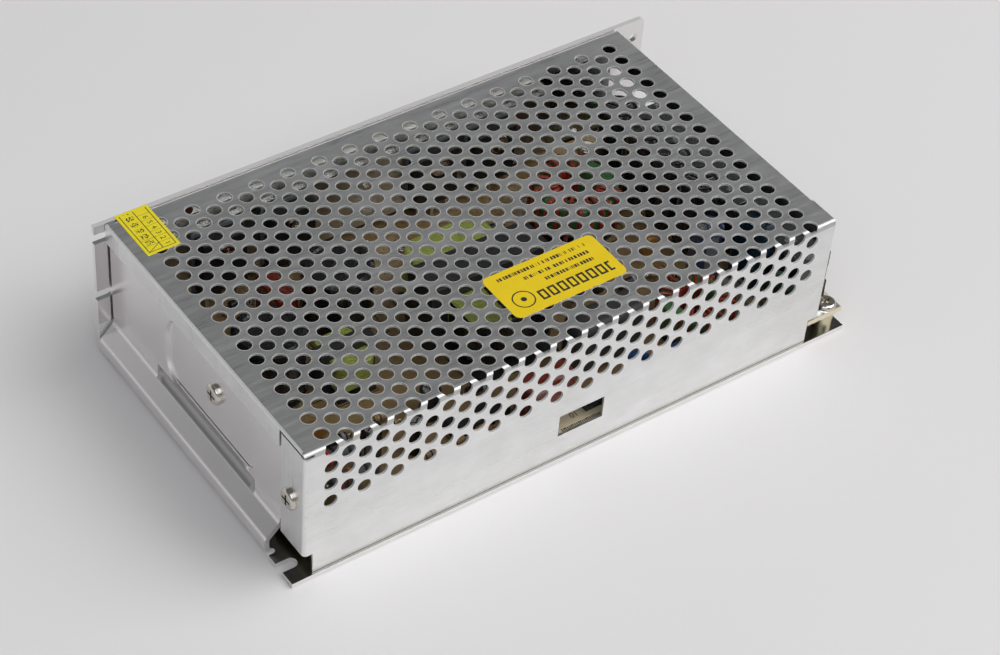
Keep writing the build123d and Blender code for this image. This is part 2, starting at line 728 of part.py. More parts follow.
with BuildPart() as terminal_clamps:
    with BuildSketch(Plane.XY.offset(deck_top + contact_t)):
        with Locations(*[(contact_x, y) for y in pole_ys]):
            RectangleRounded(clamp_size, clamp_size, clamp_size * 0.12)
            Circle(terminal_screw_r + screw_gap, mode=Mode.SUBTRACT)
    extrude(amount=clamp_t)

with BuildPart() as terminal_screws:
    place(
        pan_screw(terminal_screw_r, terminal_screw_l, terminal_head),
        *[(contact_x, y, deck_top + contact_t + clamp_t) for y in pole_ys],
    )

# Clear flap: a plate with a knuckle and two pins at the back, and a skirt with a finger lip at the front
with BuildPart() as terminal_flap:
    flap_front = block_x1 + flap_over
    block((hinge_x, flap_front), flap_ys, (hinge_z - flap_t / 2, hinge_z + flap_t / 2))
    block((flap_front - flap_t, flap_front), flap_ys, (hinge_z - flap_skirt, hinge_z + flap_t / 2))
    fillet(terminal_flap.edges().filter_by(Axis.Y).sort_by(lambda e: e.center().X + e.center().Z)[-1], flap_t * 0.8)
    lift_l, lift_reach, lift_t = flap_lift
    block(
        (flap_front - flap_t, flap_front + lift_reach), (block_y - lift_l / 2, block_y + lift_l / 2),
        (hinge_z - flap_skirt, hinge_z - flap_skirt + lift_t),
    )
    with BuildSketch(xz(flap_ys[1])):
        with Locations((hinge_x, hinge_z)):
            Circle(knuckle_r)
    extrude(amount=2 * flap_half)
    with BuildSketch(xz(block_ys[1])):
        with Locations((hinge_x, hinge_z)):
            Circle(hinge_pin_r)
    extrude(amount=2 * block_half)

with BuildPart() as trimmer_body:
    trimmer_x, trimmer_y = trimmer_spot
    trimmer_w, trimmer_h = trimmer_size
    block(
        (trimmer_x - trimmer_w / 2, trimmer_x + trimmer_w / 2), (trimmer_y - trimmer_w / 2, trimmer_y + trimmer_w / 2),
        (board_top, board_top + trimmer_h),
    )
    chamfer(trimmer_body.edges().filter_by(Axis.Z), trimmer_w * 0.08)
    with BuildSketch(Plane.XY.offset(board_top + trimmer_h)):
        with Locations(trimmer_spot):
            Circle(rotor_r + rotor_gap)
    extrude(amount=-rotor_h / 2 - rotor_gap, mode=Mode.SUBTRACT)

with BuildPart() as trimmer_rotor:
    with BuildSketch(Plane.XY.offset(board_top + trimmer_h - rotor_h / 2)):
        with Locations(trimmer_spot):
            Circle(rotor_r)
    extrude(amount=rotor_h)
    with BuildSketch(Plane.XY.offset(board_top + trimmer_h + rotor_h / 2)):
        with Locations(trimmer_spot):
            Rectangle(2 * rotor_r, rotor_slot[0])
            Rectangle(rotor_slot[0], rotor_r * 1.2)
    extrude(amount=-rotor_slot[1], mode=Mode.SUBTRACT)

with BuildPart() as indicator_lamp:
    with BuildSketch(Plane.XY.offset(board_top + leg_h)):
        with Locations(led_spot):
            Circle(led_r)
    extrude(amount=led_h)
    fillet(indicator_lamp.faces().sort_by(Axis.Z)[-1].edges(), led_r * 0.95)
    with BuildSketch(Plane.XY.offset(board_top + leg_h)):
        with Locations(led_spot):
            Circle(led_r * 1.2)
    extrude(amount=led_r * 0.6)
    with BuildSketch(Plane.XY.offset(board_top)):
        with Locations((led_spot[0] - led_r * 0.8, led_spot[1]), (led_spot[0] + led_r * 0.8, led_spot[1])):
            Circle(leg_r)
    extrude(amount=leg_h)

# Heat sink bar and what it cools
with BuildPart() as heat_sink_bar:
    with BuildSketch(xz(wall_in)):
        with Locations(((bar_x[0] + bar_x[1]) / 2, (bar_z[0] + bar_z[1]) / 2)):
            Rectangle(bar_x[1] - bar_x[0], bar_z[1] - bar_z[0])
        with Locations(*[(x, device_screw_z) for x in device_xs], *[(x, bar_screw_z) for x in bar_screw_x]):
            Circle(m3_r + screw_gap, mode=Mode.SUBTRACT)
    extrude(amount=bar_t)

with BuildPart() as bar_screws:
    place(
        csk_screw(m3_r, bar_screw_l),
        *[Plane(origin=(x, half_w, bar_screw_z), z_dir=(0, 1, 0)) for x in bar_screw_x],
    )

with BuildPart() as insulating_pads:
    with BuildSketch(xz(bar_face)):
        for x in device_xs:
            with Locations((x, device_bottom + device_size[2] / 2)):
                Rectangle(device_size[0] + 2 * pad_margin, device_size[2] + 2 * pad_margin)
            with Locations((x, device_screw_z)):
                Circle(m3_r + screw_gap, mode=Mode.SUBTRACT)
    extrude(amount=pad_t)

with BuildPart() as device_screws:
    place(
        pan_screw(m3_r, device_screw_l, pan_head),
        *[Plane(origin=(x, device_face, device_screw_z), z_dir=(0, -1, 0)) for x in device_xs],
    )


def flat_package():
    """A flat power package screwed to the bar at X = 0, its leads down to the board."""
    lead_count, lead_pitch, lead_w, lead_t = device_leads
    with BuildPart(mode=Mode.PRIVATE) as package:
        with BuildSketch(xz(pad_face)):
            with Locations((0, device_bottom)):
                Rectangle(device_size[0], device_size[2], align=(Align.CENTER, Align.MIN))
        extrude(amount=device_size[1])
        chamfer(package.faces().sort_by(Axis.Y)[0].edges(), lead_t)
        with BuildSketch(xz(pad_face)):
            with Locations((0, device_screw_z)):
                Circle(m3_r + screw_gap)
        extrude(amount=device_size[1], mode=Mode.SUBTRACT)
        with BuildSketch(Plane.XY.offset(board_top)):
            with Locations((0, pad_face - device_size[1] / 2)):
                with GridLocations(lead_pitch, 1, lead_count, 1):
                    Rectangle(lead_w, lead_t)
        extrude(amount=device_bottom - board_top)
    return package.part


with BuildPart() as bridge_rectifier:
    bridge_t, bridge_w, bridge_h = bridge_size
    lead_count, lead_pitch, lead_w = bridge_leads
    bridge_low = bridge_spot[1] - bridge_h / 2
    block(
        (press_in, press_in + bridge_t), (bridge_spot[0] - bridge_w / 2, bridge_spot[0] + bridge_w / 2),
        (bridge_low, bridge_low + bridge_h),
    )
    chamfer(bridge_rectifier.faces().sort_by(Axis.X)[-1].edges(), bridge_t * 0.15)
    with BuildSketch(yz(press_in)):
        with Locations(bridge_spot):
            Circle(m3_r + screw_gap)
    extrude(amount=bridge_t, mode=Mode.SUBTRACT)
    with BuildSketch(Plane.XY.offset(board_top)):
        with Locations((press_in + bridge_t / 2, bridge_spot[0])):
            with GridLocations(1, lead_pitch, 1, lead_count):
                Rectangle(lead_w * 0.6, lead_w)
    extrude(amount=bridge_low - board_top)

with BuildPart() as bridge_screw:
    place(pan_screw(m3_r, bridge_screw_l, pan_head), bridge_seat)

with BuildPart() as bridge_nut:
    with BuildSketch(yz(press_in + bridge_t)):
        with Locations(bridge_spot):
            RegularPolygon(nut[0], 6, major_radius=False)
            Circle(m3_r + screw_gap, mode=Mode.SUBTRACT)
    extrude(amount=nut[1])

# Fuse: glass between two caps, held in two clips
fuse_x, fuse_y = fuse_spot
fuse_z = board_top + fuse_axis_h
fuse_cap_r, fuse_cap_l = fuse_cap
with BuildPart() as fuse_glass:
    with BuildSketch(xz(fuse_y + fuse_l / 2 - fuse_cap_l)):
        with Locations((fuse_x, fuse_z)):
            Circle(fuse_r)
    extrude(amount=fuse_l - 2 * fuse_cap_l)

with BuildPart() as fuse_caps:
    for cap_end in (fuse_y + fuse_l / 2, fuse_y - fuse_l / 2 + fuse_cap_l):
        with BuildSketch(xz(cap_end)):
            with Locations((fuse_x, fuse_z)):
                Circle(fuse_cap_r)
        extrude(amount=fuse_cap_l)

with BuildPart() as fuse_clips:
    jaw = fuse_cap_r + clip_gap
    for cap_middle in (fuse_y + (fuse_l - fuse_cap_l) / 2, fuse_y - (fuse_l - fuse_cap_l) / 2):
        for side in (-1, 1):
            block(
                sorted((fuse_x + side * jaw, fuse_x + side * (jaw + clip_t))),
                (cap_middle - clip_l / 2, cap_middle + clip_l / 2), (board_top, fuse_z + fuse_cap_r),
            )
        block(
            (fuse_x - jaw, fuse_x + jaw), (cap_middle - clip_l / 2, cap_middle + clip_l / 2),
            (board_top, board_top + clip_t),
        )

with BuildPart() as control_chip:
    chip_x, chip_y = chip_spot
    pin_count, pin_pitch, pin_w, pin_reach = chip_pins
    chip_low = board_top + chip_stand
    chip_side = chip_size[1] / 2
    block(
        (chip_x - chip_size[0] / 2, chip_x + chip_size[0] / 2), (chip_y - chip_side, chip_y + chip_side),
        (chip_low, chip_low + chip_size[2]),
    )
    chamfer(control_chip.faces().sort_by(Axis.Z)[-1].edges(), chip_size[2] * 0.12)
    pin_spots = GridLocations(pin_pitch, 2 * (chip_side + pin_reach / 2), pin_count, 2).local_locations
    with BuildSketch(Plane.XY.offset(board_top)):
        with Locations(chip_spot):
            with Locations(*pin_spots):
                Rectangle(pin_w, pin_reach)
    extrude(amount=chip_stand + chip_size[2] / 2)

# Parts on the board that come in groups
with BuildPart() as small_capacitors:
    place(can(*small_can_size), *[(x, y, board_top) for x, y in small_can_spots])

with BuildPart() as ceramic_capacitors:
    place(dipped_disc(*ceramic_size), *[(x, y, board_top) for x, y in ceramic_spots])

with BuildPart() as safety_capacitors:
    place(dipped_disc(*disc_size), *[(x, y, board_top) for x, y in disc_spots])

with BuildPart() as inrush_thermistor:
    place(dipped_disc(*thermistor_size), Location((*thermistor_spot, board_top), (0, 0, 90)))

with BuildPart() as power_resistors:
    place(axial(*power_resistor_size), *[(x, y, board_top) for x, y in power_resistor_spots])

with BuildPart() as signal_resistors:
    place(axial(*resistor_size), *[(x, y, board_top) for x, y in resistor_spots])

with BuildPart() as small_diodes:
    place(axial(*small_diode_size), *[(x, y, board_top) for x, y in small_diode_spots])

with BuildPart() as jumper_wires:
    place(axial(*jumper_size), *[(x, y, board_top) for x, y in jumper_spots])

# Chokes
chokes = {"output_choke": output_choke, "line_choke": line_choke}
with BuildPart() as choke_feet:
    for (x, y), ring, wire, coils in chokes.values():
        place(choke_foot_plate(ring, wire), (x, y, board_top))

# Stickers on the cover's top
with BuildPart() as top_label:
    label_spot, label_size, label_corner = top_sticker
    with BuildSketch(Plane.XY.offset(case_height)):
        with Locations(label_spot):
            RectangleRounded(*label_size, label_corner)
    extrude(amount=sticker_t)

with BuildPart() as grid_label:
    grid_x, grid_w, grid_l, grid_gap = grid_sticker
    with BuildSketch(Plane.XY.offset(case_height)):
        with Locations((grid_x, half_w - grid_gap)):
            Rectangle(grid_w, grid_l, align=(Align.CENTER, Align.MAX))
    extrude(amount=sticker_t)

pieces = {
    "chassis": chassis.part,
    "cover": cover.part,
    "circuit_board": circuit_board.part,
    "insulating_sheet": insulating_sheet.part,
    "board_spacers": board_spacers.part,
    "board_screws": board_screws.part,
    "flange_screw": flange_screw_part.part,
    "cover_screws": cover_screws.part,
    "terminal_block": terminal_block.part,
    "terminal_contacts": terminal_contacts.part,
    "terminal_clamps": terminal_clamps.part,
    "terminal_screws": terminal_screws.part,
    "terminal_flap": terminal_flap.part,
    "trimmer_body": trimmer_body.part,
    "trimmer_rotor": trimmer_rotor.part,
    "indicator_lamp": indicator_lamp.part,
    "heat_sink_bar": heat_sink_bar.part,
    "bar_screws": bar_screws.part,
    "insulating_pads": insulating_pads.part,
    "device_screws": device_screws.part,
    "bridge_rectifier": bridge_rectifier.part,
    "bridge_screw": bridge_screw.part,
    "bridge_nut": bridge_nut.part,
    "fuse_glass": fuse_glass.part,
    "fuse_caps": fuse_caps.part,
    "fuse_clips": fuse_clips.part,
    "control_chip": control_chip.part,
    "small_capacitors": small_capacitors.part,
    "ceramic_capacitors": ceramic_capacitors.part,
    "safety_capacitors": safety_capacitors.part,
    "inrush_thermistor": inrush_thermistor.part,
    "power_resistors": power_resistors.part,
    "signal_resistors": signal_resistors.part,
    "small_diodes": small_diodes.part,
    "jumper_wires": jumper_wires.part,
    "choke_feet": choke_feet.part,
    "top_label": top_label.part,
    "grid_label": grid_label.part,
}

for name, spots in device_spots.items():
    with BuildPart() as packages:
        place(flat_package(), *[(x, 0) for x in spots])
    pieces[name] = packages.part

for name, spot in bulk_spots.items():
    pieces[name] = Location((*spot, board_top)) * can(*bulk_size)
for name, spot in output_spots.items():
    pieces[name] = Location((*spot, board_top)) * can(*output_size)
pieces["filter_capacitor"] = Location((*filter_spot, board_top)) * can(*filter_size)
for name, (spot, size) in film_capacitors.items():
    pieces[name] = Location((*spot, board_top)) * dipped_box(*size)

transformers = {"main_transformer": main_transformer, "drive_transformer": drive_transformer}
with BuildPart() as transformer_bobbins:
    with BuildSketch(Plane.XY.offset(board_top)):
        for spot, core, bar, leg, coil in transformers.values():
            with Locations(spot):
                Rectangle(*coil)
    extrude(amount=bobbin_base)
pieces["transformer_bobbins"] = transformer_bobbins.part
for name, (spot, core, bar, leg, coil) in transformers.items():
    seat = Location((*spot, board_top + bobbin_base))
    pieces[f"{name}_core"] = seat * ferrite(core, bar, leg, coil[0])
    pieces[f"{name}_coil"] = seat * taped_coil(core, bar, leg, coil)

for name, (spot, ring, wire, coils) in chokes.items():
    pieces[f"{name}_core"] = Location((*spot, board_top)) * ring_core(ring, wire)
    turn = ring_turn(ring, wire)
    with BuildPart() as winding:
        for start, turns, arc in coils:
            for step in range(turns):
                place(turn, Location((*spot, board_top), (0, 0, start + arc * step / (turns - 1))))
    pieces[f"{name}_coil"] = winding.part

os.makedirs("parts", exist_ok=True)
for name, piece in pieces.items():
    piece.label = name
    export_step(piece, f"parts/{name}.step")
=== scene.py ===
import logging
import math
from dataclasses import dataclass, field
from enum import Enum

import bmesh
import bpy
from mathutils import Matrix, Vector


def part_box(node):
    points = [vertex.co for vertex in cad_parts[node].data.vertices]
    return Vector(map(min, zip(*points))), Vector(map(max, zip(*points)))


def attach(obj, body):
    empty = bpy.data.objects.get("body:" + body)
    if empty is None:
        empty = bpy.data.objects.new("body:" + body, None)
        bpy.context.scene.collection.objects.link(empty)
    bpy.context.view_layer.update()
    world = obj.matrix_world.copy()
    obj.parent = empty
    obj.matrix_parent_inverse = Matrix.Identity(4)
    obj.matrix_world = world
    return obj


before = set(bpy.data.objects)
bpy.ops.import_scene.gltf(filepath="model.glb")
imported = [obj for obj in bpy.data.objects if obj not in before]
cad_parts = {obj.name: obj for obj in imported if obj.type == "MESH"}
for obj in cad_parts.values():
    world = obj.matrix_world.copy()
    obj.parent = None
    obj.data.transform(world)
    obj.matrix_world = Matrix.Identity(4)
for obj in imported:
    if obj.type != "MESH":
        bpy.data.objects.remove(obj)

log = logging.getLogger("power_supply")

MM = 0.001
PER_METRE = 1000.0
Colour = tuple[float, float, float]
Spot = tuple[float, float]
Four = tuple[float, float, float, float]

# Outputs and inputs whose names aren't unique, by number
TEXTURE_GENERATED, TEXTURE_OBJECT = 0, 3
GEOMETRY_TRUE_NORMAL, GEOMETRY_ISLAND = 3, 8
MIX_FACTOR, MIX_FIRST, MIX_SECOND = 0, 2, 3
MIX_FIRST_COLOUR, MIX_SECOND_COLOUR, MIX_COLOUR_OUT = 6, 7, 2

# Noise detail, and the size of broad unevenness as spots to a metre
SOFT, FINE, SHARP = 2.0, 3.0, 4.0
CLOUDS, SMEARS, HANDLED = 90.0, 140.0, 45.0

# How strongly the unevenness tells in the colour and in the gloss
COLOUR_SWING, GLOSS_SWING, HANDLED_SWING = 1.6, 0.16, 0.08
COAT_ROUGHNESS = 0.08

# How squarely a face looks along an axis, as the cosine of the angle
SQUARE_ON, FACES, LEANS = 0.97, 0.9, 0.5
BREAK_ANGLE = math.radians(48.0)
BEND_STEPS = 4


class Value:
    """One output of a shader net, used like a number in Python expressions."""

    def __init__(self, net: "ShaderNet", socket: bpy.types.NodeSocket) -> None:
        """Keeps the net that the output belongs to."""
        self.net = net
        self.socket = socket

    def maths(self, operation: str, *terms: "Term") -> "Value":
        """Adds one Math node.

        Args:
            operation: the node's operation.
            terms: its inputs in order.

        Returns:
            The node's output.
        """
        return self.net.node("ShaderNodeMath", {"operation": operation}, dict(enumerate(terms)))

    def __add__(self, other: "Term") -> "Value":
        """The sum of two values."""
        return self.maths("ADD", self, other)

    __radd__ = __add__

    def __sub__(self, other: "Term") -> "Value":
        """This value less another."""
        return self.maths("SUBTRACT", self, other)

    def __rsub__(self, other: "Term") -> "Value":
        """Another value less this one."""
        return self.maths("SUBTRACT", other, self)

    def __mul__(self, other: "Term") -> "Value":
        """The product of two values."""
        return self.maths("MULTIPLY", self, other)

    __rmul__ = __mul__

    def __gt__(self, other: "Term") -> "Value":
        """A mask, 1 where this value is the larger."""
        return self.maths("GREATER_THAN", self, other)

    def __lt__(self, other: "Term") -> "Value":
        """A mask, 1 where this value is the smaller."""
        return self.maths("LESS_THAN", self, other)

    def __abs__(self) -> "Value":
        """The value without its sign."""
        return self.maths("ABSOLUTE", self)

    def __mod__(self, other: "Term") -> "Value":
        """What is left over the last whole step."""
        return self.maths("FLOORED_MODULO", self, other)

    def within(self, low: float, high: float) -> "Value":
        """A mask, 1 between two numbers."""
        return (self > low) * (self < high)

    def union(self, other: "Term") -> "Value":
        """The larger of two masks."""
        return self.maths("MAXIMUM", self, other)

    def hypot(self, other: "Value") -> "Value":
        """The distance that two lengths at right angles give."""
        return self.maths("SQRT", self * self + other * other)


Term = Value | float | int
Parts = tuple[Value, Value, Value]


class ShaderNet:
    """The node tree of a material or of the world, with one method that adds any node."""

    def __init__(self, owner: bpy.types.Material | bpy.types.World) -> None:
        """Starts with the owner's own shader."""
        owner.use_nodes = True
        self.material = owner
        self.tree = owner.node_tree
        self.shader = next(n for n in self.tree.nodes if n.type in ("BSDF_PRINCIPLED", "BACKGROUND"))

    def node(
        self, kind: str, settings: dict | None = None, inputs: dict | None = None, output: int = 0
    ) -> Value:
        """Adds a node, its settings first.

        Args:
            kind: the node's type.
            settings: its own properties, and for a ramp "stops", its (place, colour) pairs, then "blend".
            inputs: numbers, colours or values by socket name or number.
            output: which output is wanted.

        Returns:
            That output.
        """
        made = self.tree.nodes.new(kind)
        for name, value in (settings or {}).items():
            if name == "blend":
                made.color_ramp.interpolation = value
            elif name == "stops":
                ramp = made.color_ramp
                ramp.interpolation = "CONSTANT"
                while len(ramp.elements) < len(value):
                    ramp.elements.new(1.0)
                for element, (place, colour) in zip(ramp.elements, value):
                    element.position = place
                    element.color = (*colour, 1.0)
            else:
                setattr(made, name, value)
        for key, value in (inputs or {}).items():
            self.feed(made.inputs[key], value)
        return Value(self, made.outputs[output])

    def feed(self, socket: bpy.types.NodeSocket, value: "Term | Colour") -> None:
        """Links a value to a socket, or sets a plain number or colour on it.

        Args:
            socket: the socket that is fed.
            value: what feeds it.
        """
        if isinstance(value, Value):
            self.tree.links.new(value.socket, socket)
        elif socket.type == "RGBA":
            socket.default_value = (*value, 1.0)
        else:
            socket.default_value = value

    def surface(self, **sockets: "Term | Colour") -> bpy.types.Material:
        """Feeds the main shader, with underscores for spaces in its sockets' names.

        Returns:
            The finished material.
        """
        for name, value in sockets.items():
            self.feed(self.shader.inputs[name.replace("_", " ")], value)
        return self.material

    def place(self) -> Value:
        """The position on the piece, in metres."""
        return self.node("ShaderNodeTexCoord", output=TEXTURE_OBJECT)

    def millimetres(self) -> Parts:
        """The three parts of the position on the piece, in millimetres."""
        return tuple(part * PER_METRE for part in self.parts(self.place()))

    def facing(self) -> Parts:
        """The three parts of the way that a face looks."""
        return self.parts(self.node("ShaderNodeNewGeometry", output=GEOMETRY_TRUE_NORMAL))

    def parts(self, vector: Value) -> Parts:
        """The three parts of a vector."""
        split = self.tree.nodes.new("ShaderNodeSeparateXYZ")
        self.tree.links.new(vector.socket, split.inputs[0])
        return tuple(Value(self, o) for o in split.outputs)

    def vector(self, x: Term, y: Term, z: Term) -> Value:
        """A vector from its three parts."""
        return self.node("ShaderNodeCombineXYZ", None, {0: x, 1: y, 2: z})

    def stretched(self, x: float, y: float, z: float) -> Value:
        """The position on the piece, each axis multiplied."""
        return self.node("ShaderNodeVectorMath", {"operation": "MULTIPLY"}, {0: self.place(), 1: (x, y, z)})

    def noise(self, vector: Value, detail: float = SOFT, roughness: float = 0.5) -> Value:
        """Soft noise of about one unit's size over a vector."""
        inputs = {"Vector": vector, "Scale": 1.0, "Detail": detail, "Roughness": roughness}
        return self.node("ShaderNodeTexNoise", None, inputs)

    def even(self, per_metre: float, detail: float = SOFT, roughness: float = 0.5) -> Value:
        """Noise of one size in every direction, so many spots to a metre."""
        return self.noise(self.stretched(per_metre, per_metre, per_metre), detail, roughness)

    def cells(self, vector: Value) -> Value:
        """The distance to the nearest of scattered points, one to a unit."""
        return self.node("ShaderNodeTexVoronoi", None, {"Vector": vector, "Scale": 1.0})

    def mix(self, mask: Term, first: "Colour | Value", second: "Colour | Value") -> Value:
        """A colour that goes from the first to the second as a mask goes from 0 to 1."""
        inputs = {MIX_FACTOR: mask, MIX_FIRST_COLOUR: first, MIX_SECOND_COLOUR: second}
        return self.node("ShaderNodeMix", {"data_type": "RGBA"}, inputs, output=MIX_COLOUR_OUT)

    def blend(self, mask: Value, first: Term, second: Term) -> Value:
        """A number that goes from the first to the second as a mask goes from 0 to 1."""
        return self.node("ShaderNodeMix", None, {MIX_FACTOR: mask, MIX_FIRST: first, MIX_SECOND: second})

    def bump(self, height: Value, depth: float, strength: float = 1.0) -> Value:
        """A normal from a height, whose full range is depth millimetres."""
        inputs = {"Strength": strength, "Distance": depth * MM, "Height": height}
        return self.node("ShaderNodeBump", None, inputs)


class Grain(Enum):
    """How a surface's fine structure is laid out."""

    SPARK = "spark eroded mould"
    CAST = "sintered"
    ROLLED = "rolled or drawn"
    DIPPED = "dipped"
    WOUND = "wound tape"
    FIBRE = "pressed paper"


# How far a grain is drawn out: its spots along for one across
DRAWN_OUT = {Grain.ROLLED: 0.06, Grain.WOUND: 0.15, Grain.FIBRE: 0.12}


def shade(colour: Colour, factor: float) -> Colour:
    """A colour made lighter or darker."""
    return tuple(min(1.0, c * factor) for c in colour)


@dataclass(frozen=True)
class Finish:
    """A finish of one colour with its grain, unevenness and gloss."""

    name: str
    colour: Colour
    roughness: float
    grain: Grain = Grain.SPARK
    size: float = 0.5
    depth: float = 0.004
    spread: float = 0.08
    metallic: float = 0.0
    coat: float = 0.0
    transmission: float = 0.0
    ior: float = 1.5

    def structure(self, net: ShaderNet) -> Value:
        """The fine structure, from 0 to 1.

        Args:
            net: the material's net.

        Returns:
            Its height over the surface.
        """
        across = PER_METRE / self.size
        along = across * DRAWN_OUT.get(self.grain, 1.0)
        if self.grain is Grain.ROLLED:
            return net.noise(net.stretched(along, across, across), FINE, 0.6)
        if self.grain is Grain.CAST:
            return net.cells(net.stretched(across, across, across)) + 0.5 * net.even(across, FINE)
        if self.grain is Grain.WOUND:
            return net.noise(net.stretched(along, along, across))
        if self.grain is Grain.FIBRE:
            weft = net.noise(net.stretched(across, along, across))
            return 0.5 * weft + 0.5 * net.noise(net.stretched(along, across, across))
        return net.even(across, SOFT if self.grain is Grain.DIPPED else SHARP, 0.55)

    def paint(self, net: ShaderNet, height: Value) -> Value:
        """The colour, a little lighter and darker with the structure and in broad clouds."""
        mask = 0.5 * height + 0.5 * net.even(CLOUDS)
        swing = self.spread * COLOUR_SWING
        return net.mix(mask, shade(self.colour, 1.0 - swing), shade(self.colour, 1.0 + swing))

    def material(self) -> bpy.types.Material:
        """The material, made once.

        Returns:
            The material of this finish.
        """
        title = f"{self.name}_finish"
        known = bpy.data.materials.get(title)
        if known is not None:
            return known
        net = ShaderNet(bpy.data.materials.new(title))
        height = self.structure(net)
        return self.finished(net, height, self.paint(net, height), self.gloss(net, height))

    def gloss(self, net: ShaderNet, height: Value) -> Value:
        """The roughness over the surface."""
        swing = GLOSS_SWING * min(1.0, self.roughness * 2.0)
        return (height + net.even(SMEARS, FINE) - 1.0) * swing + self.roughness

    def finished(
        self, net: ShaderNet, height: Value, colour: Value, roughness: Value
    ) -> bpy.types.Material:
        """Feeds the shader.

        Args:
            net: the material's net.
            height: the fine structure.
            colour: the colour over the surface.
            roughness: the roughness over the surface.

        Returns:
            The material.
        """
        return net.surface(
            Base_Color=colour, Roughness=roughness, Metallic=self.metallic, Coat_Weight=self.coat,
            Coat_Roughness=COAT_ROUGHNESS, Transmission_Weight=self.transmission, IOR=self.ior,
            Normal=net.bump(height, self.depth),
        )


@dataclass(frozen=True)
class SheetMetal(Finish):
    """Rolled sheet with its grain along the case, and up the end wall."""

    along: float = 7.0
    broad_along: float = 0.25
    broad_across: float = 0.16
    fine_share: float = 0.6
    end_wall: float = 0.6

    def structure(self, net: ShaderNet) -> Value:
        """Fine lines that run with the sheet, from 0 to 1.

        Args:
            net: the material's net.

        Returns:
            Their height over the surface.
        """
        x, y, z = net.parts(net.place())
        end = abs(net.facing()[0]) > self.end_wall
        across = PER_METRE / self.size
        long = PER_METRE / self.along
        run = net.blend(end, x * long, z * long)
        side = net.blend(end, z * across, x * across)
        fine = net.noise(net.vector(run, y * across, side), FINE, 0.65)
        wide = self.broad_across
        broad = net.noise(net.vector(run * self.broad_along, y * (across * wide), side * wide))
        return self.fine_share * fine + (1.0 - self.fine_share) * broad

    def gloss(self, net: ShaderNet, height: Value) -> Value:
        """Duller where the rolled lines are deeper and where hands have been."""
        smear = net.even(HANDLED, FINE) - 0.5
        return self.roughness + self.spread * 2.0 * (height - 0.5) + HANDLED_SWING * smear


@dataclass(frozen=True)
class FoldedSheet(SheetMetal):
    """Rolled sheet: painted highlight on cut edges, painted shade inside and on duller parts. Positions are
    millimetres.
    """

    # Painted highlight colour for the cut edges
    edge_highlight_colour: Colour = (0.86, 0.86, 0.85)
    # Painted shade colour for the inside
    inside_shade_colour: Colour = (0.20, 0.20, 0.19)
    # Painted shade colour, and its share, for the duller parts
    dull_shade_colour: Colour = (0.16, 0.17, 0.17)
    dull_shade_share: float = 0.55
    dull_roughness: float = 0.2
    # How metallic the painted highlight on the cut edges is
    edge_highlight_metallic: float = 0.45

    def cut(self, place: Parts, facing: Parts) -> Value:
        """Where an edge was broken, which gets a painted highlight: faces that look along no axis."""
        x, y, z = (abs(part) > SQUARE_ON for part in facing)
        return 1 - x.union(y).union(z)

    def inside(self, place: Parts, facing: Parts) -> Value:
        """Where the sheet faces into the case, darkened with painted shade."""
        raise NotImplementedError

    def dull_and_shaded(self, place: Parts, facing: Parts) -> Value:
        """Where the outside is duller and darkened with painted shade."""
        raise NotImplementedError

    def finished(
        self, net: ShaderNet, height: Value, colour: Value, roughness: Value
    ) -> bpy.types.Material:
        """Paints a highlight on the cut edges and shade on the inside and the duller parts.

        Args:
            net: the material's net.
            height: the rolled lines.
            colour: the sheet's colour.
            roughness: the sheet's roughness.

        Returns:
            The material.
        """
        place, facing = net.millimetres(), net.facing()
        # Painted highlight on the cut edges, painted shade on the inside and the duller parts
        cut = self.cut(place, facing)
        dull_and_shaded = self.dull_and_shaded(place, facing)
        sheet = net.mix(dull_and_shaded * self.dull_shade_share, colour, self.dull_shade_colour)
        sheet = net.mix(self.inside(place, facing), sheet, self.inside_shade_colour)
        return net.surface(
            Base_Color=net.mix(cut, sheet, self.edge_highlight_colour),
            Roughness=roughness + self.dull_roughness * dull_and_shaded,
            Metallic=1 - (1.0 - self.edge_highlight_metallic) * cut, Normal=net.bump(height, self.depth),
        )


@dataclass(frozen=True)
class HoleField:
    """One of the two fields of punched holes, its columns two pitches apart. Millimetres."""

    column: float
    first: float
    last: float
    low: float
    high: float


